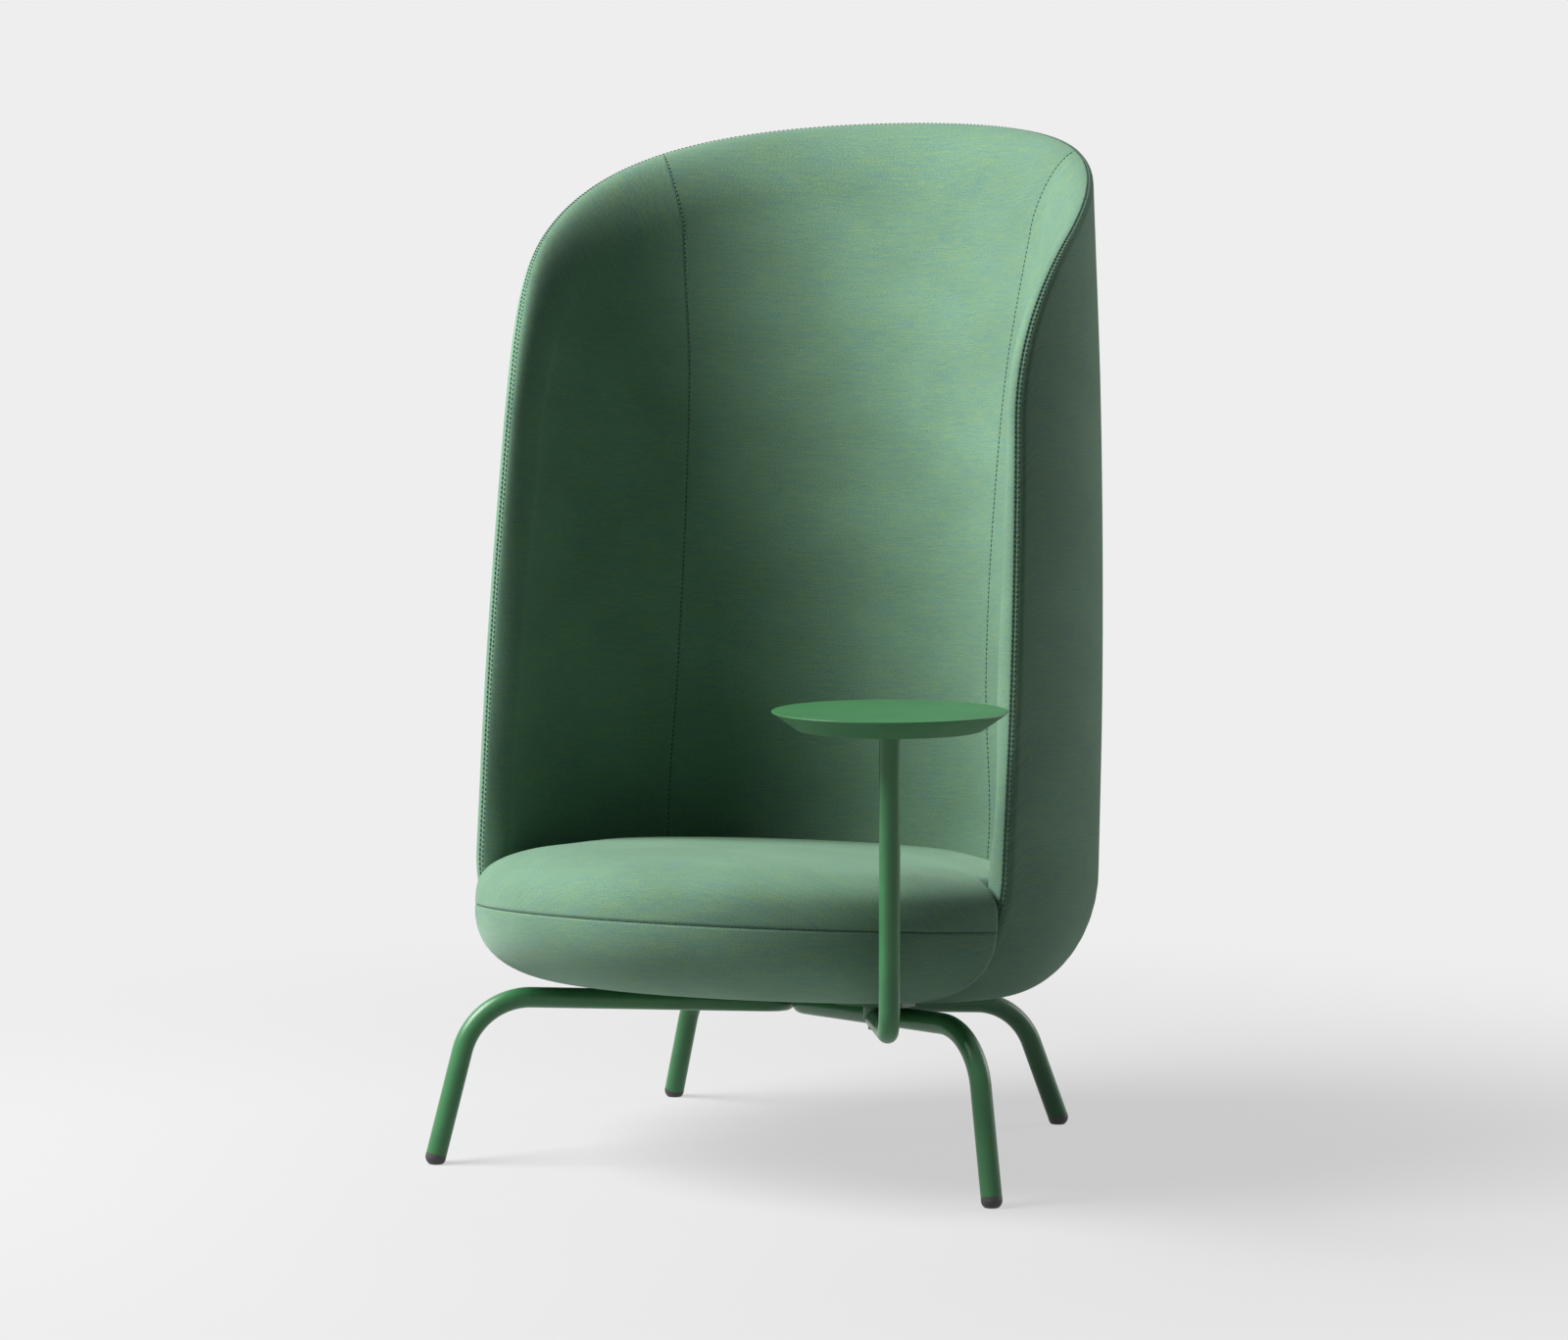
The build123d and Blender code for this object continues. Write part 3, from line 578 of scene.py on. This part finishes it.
def turned(name, profile, centre, count=160):
    """A half outline of radius and height turned about an upright axis."""
    p = np.array(profile, float)
    a = np.linspace(0, 2 * math.pi, count, endpoint=False)
    pts = np.stack([centre[0] + p[:, :1] * np.cos(a), centre[1] + p[:, :1] * np.sin(a),
                    p[:, 1:] + 0 * a], -1)
    uv = np.stack(np.meshgrid(np.linspace(0, 1, count + 1), run_length(p)), -1)
    return surface(name, pts * MM, uv * MM, wrap=True)


def crossing_point(x, y, z=0.0):
    """A point given in the leaning plane from the tubes' crossing."""
    c, s = math.cos(LEAN), math.sin(LEAN)
    return (x, FRAME_Y + y * c + z * s, FRAME_Z - y * s + z * c)


def pulled_in(foot, knee, length):
    """The tube's end: a length up the leg from the foot."""
    foot, knee = np.array(foot, float), np.array(knee, float)
    return foot + unit(knee - foot) * length


def frame_tube(name, sign):
    """One bent tube from foot to foot: leg, run to the crossing, run back, leg."""
    front, rear = (crossing_point(sign * x, y) for x, y in (KNEE_FRONT, KNEE_REAR))
    half = math.pi / 2 - sum(math.atan2(abs(y), x) for x, y in (KNEE_FRONT, KNEE_REAR)) / 2
    tip = (TUBE_D + TUBE_GAP) / 2 - CROSSING_BEND * (1 / math.cos(half) - 1)
    start, end = (pulled_in((sign * x, y, 0), knee, FOOT_END)
                  for (x, y), knee in ((FOOT_FRONT, front), (FOOT_REAR, rear)))
    points = [start, front, crossing_point(sign * tip, 0), rear, end]
    return bent_tube(name, points, (LEG_BEND, CROSSING_BEND, LEG_BEND), TUBE_D)


def table_arm():
    """Arm under the seat and upright stem, one tube with a tight bend."""
    ahead = np.array([math.sin(ARM_HEADING), -math.cos(ARM_HEADING), math.tan(ARM_RISE)])
    foot = np.array([*STEM, FRAME_Z + ARM_ABOVE])
    back = foot - ahead * (ARM_REACH + ARM_TAIL)
    return bent_tube("arm_and_stem", [back, foot, (*STEM, TABLE_Z - TABLE_T)], (ARM_BEND,), ARM_D)


def table_board():
    """Round board: flat top, thin edge with small roundings, steep undercut, recess below."""
    r, z, low_z, a, b = TABLE_R, TABLE_Z, TABLE_Z - TABLE_T, EDGE_TOP_R, EDGE_LOW_R
    q = np.linspace(0, math.pi / 2, 6)
    top = np.stack([r - a + a * np.sin(q), z - a + a * np.cos(q)], 1)
    low = np.stack([r - b + b * np.cos(q), z - TABLE_EDGE + b - b * np.sin(q)], 1)
    foot = [(TABLE_FOOT_R + 0.8, low_z + 0.6), (TABLE_FOOT_R, low_z + 0.15),
            (TABLE_FOOT_R - 0.8, low_z), (RECESS_R + 0.8, low_z), (RECESS_R, low_z + 0.3),
            (RECESS_R, low_z + RECESS_DEPTH), (0, low_z + RECESS_DEPTH)]
    return turned("table_board", [(0, z), (60, z), (r - 6, z), *top, *low, *foot], STEM)


def cushion_profile():
    """Half outline of the cushion from the middle of its crown to the middle of its underside:
    a quarter superellipse, nearly flat and then full, down to the seam, and a rounder one that
    tucks in below. Also the length at which the seam lies."""
    q = np.linspace(0, math.pi / 2, 400)
    out, up = np.sin(q), np.abs(np.cos(q))
    top = np.stack([CUSHION_R * out ** (2 / CROWN_POWER),
                    CUSHION_SEAM_Z + (CUSHION_TOP_Z - CUSHION_SEAM_Z) * up ** (2 / CROWN_POWER)], 1)
    band = np.stack([CUSHION_FLAT_R + (CUSHION_R - CUSHION_FLAT_R) * up ** (2 / BAND_POWER),
                     CUSHION_SEAM_Z - (CUSHION_SEAM_Z - SEAT_BOTTOM) * out ** (2 / BAND_POWER)], 1)
    line = np.concatenate([top, band[1:], [(0, SEAT_BOTTOM)]])
    return line, run_length(line)[len(top) - 1]


def cushion_reach(angle, r, z):
    """How far the cushion reaches at an angle from the front, and how free it is there: it
    rounds off just in front of the rim, follows the rim's round, and stops at the lining."""
    high = np.maximum(z, RIM_LOW)
    c, h = smooth(high, HOLLOW_Z, HOLLOW_Y), smooth(high, HOLLOW_Z, HOLLOW_R)
    ahead = -np.cos(angle) * c
    full = np.where(z < CUSHION_SEAM_Z, r, CUSHION_R)
    wall = np.minimum(ahead + np.sqrt(ahead ** 2 - c ** 2 + h ** 2) + 2, 0.92 * full)
    rim = np.arccos(np.clip(-rim_y(z) / np.maximum(full, 1), 0, 1))
    free = np.interp(np.degrees(np.abs(angle) - rim), PAST_RIM, CUSHION_FREE)
    return wall + (full - wall) * free, free


def cushion_grid(lengths, angles):
    """Points of the cushion: its profile turned about the seat axis, cut short by the lining,
    with the top drawn down a little where it presses against it."""
    line, seam = cushion_profile()
    r, z = along(line, run_length(line), lengths).T[..., None]
    reach, free = cushion_reach(angles[None], r, z)
    full = np.where(z < CUSHION_SEAM_Z, np.maximum(r, 1), CUSHION_R)
    r = np.minimum(r - (full - reach) * (r / full) ** 4, reach)
    r = r - groove(lengths[:, None] - seam, *CUSHION_GROOVE) * free
    drop = 5 * np.exp((r - reach) / 12) * (1 - free) * (z > CUSHION_SEAM_Z)
    return np.stack([r * np.sin(angles), -r * np.cos(angles), z - drop], -1)


def cushion():
    """The seat cushion: a turned and clipped grid, closer at the seam and at the rim, that
    swells as cloth under pressure with its seam held."""
    line, seam = cushion_profile()
    end, near = run_length(line)[-1], CUSHION_ROWS
    lengths = np.concatenate([np.linspace(0, seam - 18, 56), seam - near[:0:-1], seam + near,
                              np.linspace(seam + 18, end, 44)])
    a = np.linspace(-math.pi, math.pi, 4001)
    share = np.cumsum(1 + 9 * np.exp(-((np.abs(a) - 1.09) / 0.08) ** 2))
    angles = np.interp(np.linspace(0, share[-1], 360, endpoint=False), share, a)
    pts = cushion_grid(lengths, angles)
    rows = np.linspace(30, end - 300, 64)
    cols = np.linspace(-math.pi, math.pi, 128, endpoint=False)
    move = swelling(rows, cols, seam)
    pts = pts + carried_over(move, np.interp(lengths, rows, np.arange(64.0)),
                             (angles + math.pi) / (2 * math.pi) * 128)
    wide = np.append(angles, angles[0] + 2 * math.pi)[None]
    reach = lengths[:, None]
    top = np.stack([np.sin(wide) * reach, -np.cos(wide) * reach], -1)
    band = np.stack([wide * CUSHION_R + 0 * reach, reach + 900 + 0 * wide], -1)
    weave = np.where((reach <= seam)[..., None], top, band)
    return surface("seat_cushion", placed(pts), weave * MM, wrap=True)


def carried_over(move, rows, cols):
    """A coarse grid's movement read at fractional rows and columns; the columns wrap round."""
    i, j, n = np.clip(rows.astype(int), 0, len(move) - 2), cols.astype(int), move.shape[1]
    f, g = (rows - i)[:, None, None], (cols - j)[None, :, None]
    m = move[:, j % n] * (1 - g) + move[:, (j + 1) % n] * g
    return m[i] * (1 - f) + m[i + 1] * f


def coordinates(mesh):
    """A mesh's points."""
    co = np.zeros(len(mesh.vertices) * 3, np.float32)
    mesh.vertices.foreach_get("co", co)
    return co.reshape(-1, 3).astype(float)


def swelling(rows, cols, seam, cap=2.0, frames=20):
    """How cloth under pressure moves on a coarse grid of the cushion, in millimetres: some
    frames with the seam and the hidden parts held, no point further than the cap, evened out
    with its neighbours, and round the middle of the crown with its whole ring."""
    start = cushion_grid(rows, cols)
    shape = start.shape
    obj = surface("cushion_cloth", placed(start), np.zeros((shape[0], shape[1] + 1, 2)), wrap=True)
    hidden = (start[..., 2] < 45) | (start[..., 2] < 190) & (np.abs(cols) > 1.2)
    held = np.flatnonzero((hidden | (np.abs(rows - seam) < 9)[:, None]).ravel())
    obj.vertex_groups.new(name="held").add(held.tolist(), 1.0, "REPLACE")
    cloth = obj.modifiers.new("cloth", "CLOTH")
    cloth.settings.use_pressure = True
    cloth.settings.uniform_pressure_force = 4
    cloth.settings.effector_weights.gravity = 0
    cloth.settings.vertex_group_mass = "held"
    cloth.settings.tension_stiffness = cloth.settings.compression_stiffness = 25
    cloth.settings.bending_stiffness = 2
    cloth.point_cache.frame_start, cloth.point_cache.frame_end = 1, frames
    before = coordinates(obj.data)
    for f in range(1, frames + 1):
        bpy.context.scene.frame_set(f)
    graph = bpy.context.evaluated_depsgraph_get()
    x, y, z = ((coordinates(obj.evaluated_get(graph).data) - before) / MM).T
    bpy.context.scene.frame_set(1)
    bpy.data.objects.remove(obj)
    c, s = math.cos(LEAN), math.sin(LEAN)
    move = np.stack([x, y * c - z * s, y * s + z * c], -1)
    far = np.linalg.norm(move, axis=1, keepdims=True)
    move = (move * np.minimum(1, cap / np.maximum(far, 1e-9))).reshape(shape)
    for _ in range(3):
        move = (move + np.roll(move, 1, 1) + np.roll(move, -1, 1)) / 3
    ring = np.clip((150 - rows) / 120, 0, 1)[:, None, None]
    return move * (1 - ring) + move.mean(1, keepdims=True) * ring


def hexcolour(text):
    """sRGB hex to linear."""
    c = np.array([int(text[i:i + 2], 16) for i in (1, 3, 5)]) / 255
    return (*np.where(c <= 0.04045, c / 12.92, ((c + 0.055) / 1.055) ** 2.4).tolist(), 1.0)


def add(tree, kind, inputs=None, stops=(), **settings):
    """A node with its settings; an input that is a socket is linked, any other is set, and a
    colour ramp takes its stops as places with hex colours."""
    node = tree.nodes.new(kind)
    for key, value in settings.items():
        setattr(node, key, value)
    for key, value in (inputs or {}).items():
        if isinstance(value, bpy.types.NodeSocket):
            tree.links.new(value, node.inputs[key])
        else:
            node.inputs[key].default_value = value
    for _ in stops[2:]:
        node.color_ramp.elements.new(0.5)
    for e, (at, colour) in zip(node.color_ramp.elements if stops else (), stops):
        e.position, e.color = at, hexcolour(colour)
    return node


def new_material(name):
    """A material with its node tree and shader."""
    mat = bpy.data.materials.new(name)
    mat.use_nodes = True
    tree = mat.node_tree
    return mat, tree, tree.nodes["Principled BSDF"]


def wool_material():
    """Woven wool: plain weave of mixed yarns, so the eye sees soft level streaks of yellow and
    blue green in a sage ground, a fine grain, no shine and a pale bloom at grazing angles. The
    grain is drawn at 2 mm in place of the yarns' 1 mm, so that it shows."""
    mat, tree, shader = new_material("woven_wool")
    uv = add(tree, "ShaderNodeUVMap", uv_map="weave").outputs["UV"]
    noise = []
    for wide_mm, high_mm, detail, rough, seed in (
            (22, 1.8, 3, 0.65, 3.1), (70, 5, 2, 0.5, 11.7), (2.4, 2.0, 2, 0.7, 7.3),
            (160, 110, 2, 0.5, 1.9)):
        place = add(tree, "ShaderNodeMapping", {"Vector": uv, "Location": (seed, seed * 0.7, 0),
                                                "Scale": (1000 / wide_mm, 1000 / high_mm, 1)})
        noise.append(add(tree, "ShaderNodeTexNoise",
                         {"Vector": place.outputs["Vector"], "Scale": 1.0, "Detail": detail,
                          "Roughness": rough}, noise_dimensions="2D").outputs["Fac"])
    streak, slub, grain, cloud = noise
    ground, tint, fleck, haze = (
        add(tree, "ShaderNodeValToRGB", {"Fac": factor}, stops).outputs["Color"]
        for factor, stops in (
            (streak, [(0.25, "#5a7f72"), (0.45, "#658872"), (0.58, "#6a8d70"), (0.75, "#7d9563")]),
            (slub, [(0.3, "#5c827b"), (0.5, "#658872"), (0.7, "#6e8d68")]),
            (grain, [(0.3, "#c4c4c4"), (0.5, "#e6e6e6"), (0.7, "#ffffff")]),
            (cloud, [(0.3, "#e4e4e4"), (0.7, "#ffffff")])))
    colour = ground
    for blend, share, layer in (("MIX", 0.4, tint), ("MULTIPLY", 0.6, fleck),
                                ("MULTIPLY", 0.6, haze)):
        colour = add(tree, "ShaderNodeMixRGB", {"Fac": share, "Color1": colour, "Color2": layer},
                     blend_type=blend).outputs["Color"]
    tree.links.new(colour, shader.inputs["Base Color"])
    warp = add(tree, "ShaderNodeMapping", {"Vector": uv, "Scale": (1000 / 2.2, 1000 / 2.2, 1)})
    cell = add(tree, "ShaderNodeTexVoronoi", {"Vector": warp.outputs["Vector"], "Scale": 1.0,
                                              "Randomness": 0.35}, voronoi_dimensions="2D")
    height = add(tree, "ShaderNodeMath", {0: cell.outputs["Distance"], 1: grain},
                 operation="SUBTRACT")
    bump = add(tree, "ShaderNodeBump", {"Height": height.outputs[0], "Strength": 0.25,
                                        "Distance": 0.0008})
    tree.links.new(bump.outputs["Normal"], shader.inputs["Normal"])
    shader.inputs["Roughness"].default_value = 0.92
    shader.inputs["Specular IOR Level"].default_value = 0.2
    shader.inputs["Sheen Weight"].default_value = 0.32
    shader.inputs["Sheen Roughness"].default_value = 0.45
    shader.inputs["Sheen Tint"].default_value = hexcolour("#d0ead9")
    return mat


def paint_material(name, stops, rough, grain_mm):
    """Satin powder coat on steel, or satin lacquer on board: one even colour with the faint
    orange peel of a sprayed film, which breaks up the highlights."""
    mat, tree, shader = new_material(name)
    place = add(tree, "ShaderNodeTexCoord").outputs["Object"]
    peel = add(tree, "ShaderNodeTexNoise", {"Vector": place, "Scale": 1000 / grain_mm,
                                            "Detail": 2.0})
    cloud = add(tree, "ShaderNodeTexNoise", {"Vector": place, "Scale": 18.0, "Detail": 2.0})
    colour = add(tree, "ShaderNodeValToRGB", {"Fac": cloud.outputs["Fac"]}, stops)
    tree.links.new(colour.outputs["Color"], shader.inputs["Base Color"])
    bump = add(tree, "ShaderNodeBump", {"Height": peel.outputs["Fac"], "Strength": 0.06,
                                        "Distance": 0.0004})
    tree.links.new(bump.outputs["Normal"], shader.inputs["Normal"])
    shader.inputs["Roughness"].default_value = rough
    shader.inputs["Specular IOR Level"].default_value = 0.35
    return mat


def plain_material(name, low, high, rough, metal, grain_mm):
    """Small hard or hidden pieces: two close tones in a fine grain."""
    mat, tree, shader = new_material(name)
    place = add(tree, "ShaderNodeTexCoord").outputs["Object"]
    grain = add(tree, "ShaderNodeTexNoise", {"Vector": place, "Scale": 1000 / grain_mm,
                                             "Detail": 3.0})
    colour = add(tree, "ShaderNodeValToRGB", {"Fac": grain.outputs["Fac"]},
                 [(0.35, low), (0.65, high)])
    tree.links.new(colour.outputs["Color"], shader.inputs["Base Color"])
    bump = add(tree, "ShaderNodeBump", {"Height": grain.outputs["Fac"], "Strength": 0.15,
                                        "Distance": 0.0003})
    tree.links.new(bump.outputs["Normal"], shader.inputs["Normal"])
    shader.inputs["Roughness"].default_value = rough
    shader.inputs["Metallic"].default_value = metal
    return mat


def dress():
    """Pieces, their materials and the bodies that they ride on."""
    wool = wool_material()
    thread = plain_material("sewing_thread", "#16352a", "#1f4433", 0.7, 0.0, 1.0)
    paint = paint_material("powder_coat_green", [(0.35, "#356a42"), (0.65, "#3a7147")], 0.32, 1.6)
    lacquer = paint_material("lacquered_board_green", [(0.35, "#2b5e36"), (0.65, "#2f633a")],
                             0.42, 1.2)
    plastic = plain_material("moulded_polyamide_grey", "#333133", "#3d3a3c", 0.5, 0.0, 1.2)
    steel = plain_material("zinc_plated_steel", "#8d8f8c", "#a3a5a2", 0.35, 1.0, 2.0)
    ply = plain_material("birch_plywood", "#b8925f", "#caa772", 0.6, 0.0, 6.0)
    foam = plain_material("polyether_foam", "#d8d2b4", "#e6e1c8", 0.9, 0.0, 1.5)
    finish_of = {"green_paint": paint, "dark_plastic": plastic, "steel": steel, "plywood": ply,
                 "foam": foam, "green_lacquer": lacquer, "green_wool": wool}
    for part in frame["record"]["subparts"]:
        obj = nodes[part["node"]]
        if not obj.material_slots:
            obj.data.materials.append(None)
        for slot in obj.material_slots:
            slot.material = finish_of[part["material_slot"]]

    def piece(obj, material, body, slot, *replaced):
        """A piece with its material and body, and the CAD nodes that it stands for; its slot is not
        used.
        """
        obj.data.materials.append(material)
        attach(obj, body)
        if replaced:
            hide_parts(*replaced)
        return obj

    pads = [name for name in nodes if name.startswith("hood_pad")]
    cover, pair, ahead = outer_cover()
    piece(cover, wool, "chair", "green_wool", "hood_outer_cover", "hood_core", *pads)
    panels, seams = linings()
    for name, obj in panels.items():
        piece(obj, wool, "chair", "green_wool", name)
    seat = piece(cushion(), wool, "chair", "green_wool", "seat_cover_top", "seat_cover_band",
                 "seat_foam", "seat_board", "seat_tee_nuts")
    for name, line in zip(("rim_stitches_outer", "rim_stitches_inner"), pair):
        row = stitches(name, line - ahead * 0.2, ahead, STITCH_PITCH, RIM_STITCH)
        piece(row, thread, "chair", "green_wool")
    for name, (line, face) in zip(("lining_stitches_right", "lining_stitches_left"), seams):
        row = stitches(name, line + face * 0.4, face, STITCH_PITCH, LINING_STITCH)
        piece(row, thread, "chair", "green_wool")
    a = np.linspace(-1.085, 1.085, 600)
    r = cushion_reach(a, CUSHION_R, CUSHION_SEAM_Z)[0] - 1.2
    out = np.stack([np.sin(a), -np.cos(a), 0 * a], -1)
    ring = out * r[:, None] + (0, 0, CUSHION_SEAM_Z)
    row = stitches("cushion_seam_thread", ring, out, CUSHION_PITCH, CUSHION_STITCH)
    piece(row, thread, "chair", "green_wool")
    piece(frame_tube("tube_right", 1), paint, "chair", "green_paint", "frame_tube_right")
    piece(frame_tube("tube_left", -1), paint, "chair", "green_paint", "frame_tube_left")
    piece(table_arm(), paint, "table", "green_paint", "table_arm")
    piece(table_board(), lacquer, "table", "green_lacquer", "table_top")


def seen_ray(tree):
    """1 on a ray by which the eye sees a surface, straight, mirrored or through glass."""
    path = add(tree, "ShaderNodeLightPath").outputs
    either = add(tree, "ShaderNodeMath", {0: path["Is Camera Ray"], 1: path["Is Glossy Ray"]},
                 operation="MAXIMUM")
    return add(tree, "ShaderNodeMath", {0: either.outputs[0], 1: path["Is Transmission Ray"]},
               operation="MAXIMUM").outputs[0]


def studio():
    """Pale floor that fades into an even pale background, a large soft light from the upper
    left, a weak one from the right, and the camera at the photograph's place."""
    scene = bpy.context.scene
    scene.view_settings.view_transform = "Standard"
    pale = hexcolour("#eeeeee")
    world = bpy.data.worlds.new("studio")
    scene.world = world
    world.use_nodes = True
    tree = world.node_tree
    tree.nodes.clear()
    ambient = add(tree, "ShaderNodeBackground", {"Color": (1, 1, 1, 1), "Strength": 0.02})
    shown = add(tree, "ShaderNodeBackground", {"Color": pale, "Strength": 1.0})
    both = add(tree, "ShaderNodeMixShader", {0: seen_ray(tree), 1: ambient.outputs[0],
                                             2: shown.outputs[0]})
    add(tree, "ShaderNodeOutputWorld", {"Surface": both.outputs[0]})

    a = np.linspace(0, 2 * math.pi, 96, endpoint=False)
    radii = np.array([0.0, 0.5, 1.0, 2.0, 4.0, 10.0, 40.0])[:, None]
    pts = np.stack([radii * np.cos(a), radii * np.sin(a), 0 * radii * a - 0.0002], -1)
    uv = np.zeros((len(radii), len(a) + 1, 2))
    floor = surface("floor", pts, uv, wrap=True)
    mat, tree, shader = new_material("painted_floor")
    place = add(tree, "ShaderNodeTexCoord").outputs["Object"]
    far = add(tree, "ShaderNodeVectorMath", {0: place}, operation="LENGTH").outputs["Value"]
    fade = add(tree, "ShaderNodeMapRange",
               {"Value": far, "From Min": 0.7, "From Max": 2.2, "To Min": 0.67},
               interpolation_type="SMOOTHSTEP").outputs[0]
    fade = add(tree, "ShaderNodeMath", {0: fade, 1: seen_ray(tree)}, operation="MULTIPLY")
    glow = add(tree, "ShaderNodeEmission", {"Color": pale, "Strength": 1.0})
    shader.inputs["Base Color"].default_value = hexcolour("#b2b2b2")
    shader.inputs["Roughness"].default_value = 0.9
    shader.inputs["Specular IOR Level"].default_value = 0.0
    mixed = add(tree, "ShaderNodeMixShader", {0: fade.outputs[0], 1: shader.outputs[0],
                                              2: glow.outputs[0]})
    tree.links.new(mixed.outputs[0], tree.nodes["Material Output"].inputs["Surface"])
    floor.data.materials.append(mat)

    for name, az, el, dist, size, power in (("key", -61, 43, 4.2, 3.0, 480),
                                            ("side", 135, 14, 4.5, 2.4, 62)):
        light = bpy.data.lights.new(name, "AREA")
        light.shape, light.size, light.energy = "DISK", size, power
        obj = bpy.data.objects.new(name, light)
        scene.collection.objects.link(obj)
        z, e = math.radians(az), math.radians(el)
        obj.location = (dist * math.sin(z) * math.cos(e), -dist * math.cos(z) * math.cos(e),
                        0.7 + dist * math.sin(e))
        obj.rotation_euler = (math.pi / 2 - e, 0, z)

    lens = bpy.data.cameras.new("camera")
    lens.sensor_width, lens.lens = 36.0, 107.58
    camera = bpy.data.objects.new("camera", lens)
    camera.location = (2.3307, -5.8923, 1.2261)
    camera.rotation_euler = (math.radians(90 - 5.108), 0, math.radians(21.532))
    scene.collection.objects.link(camera)
    scene.camera = camera


dress()
studio()
bpy.context.view_layer.update()
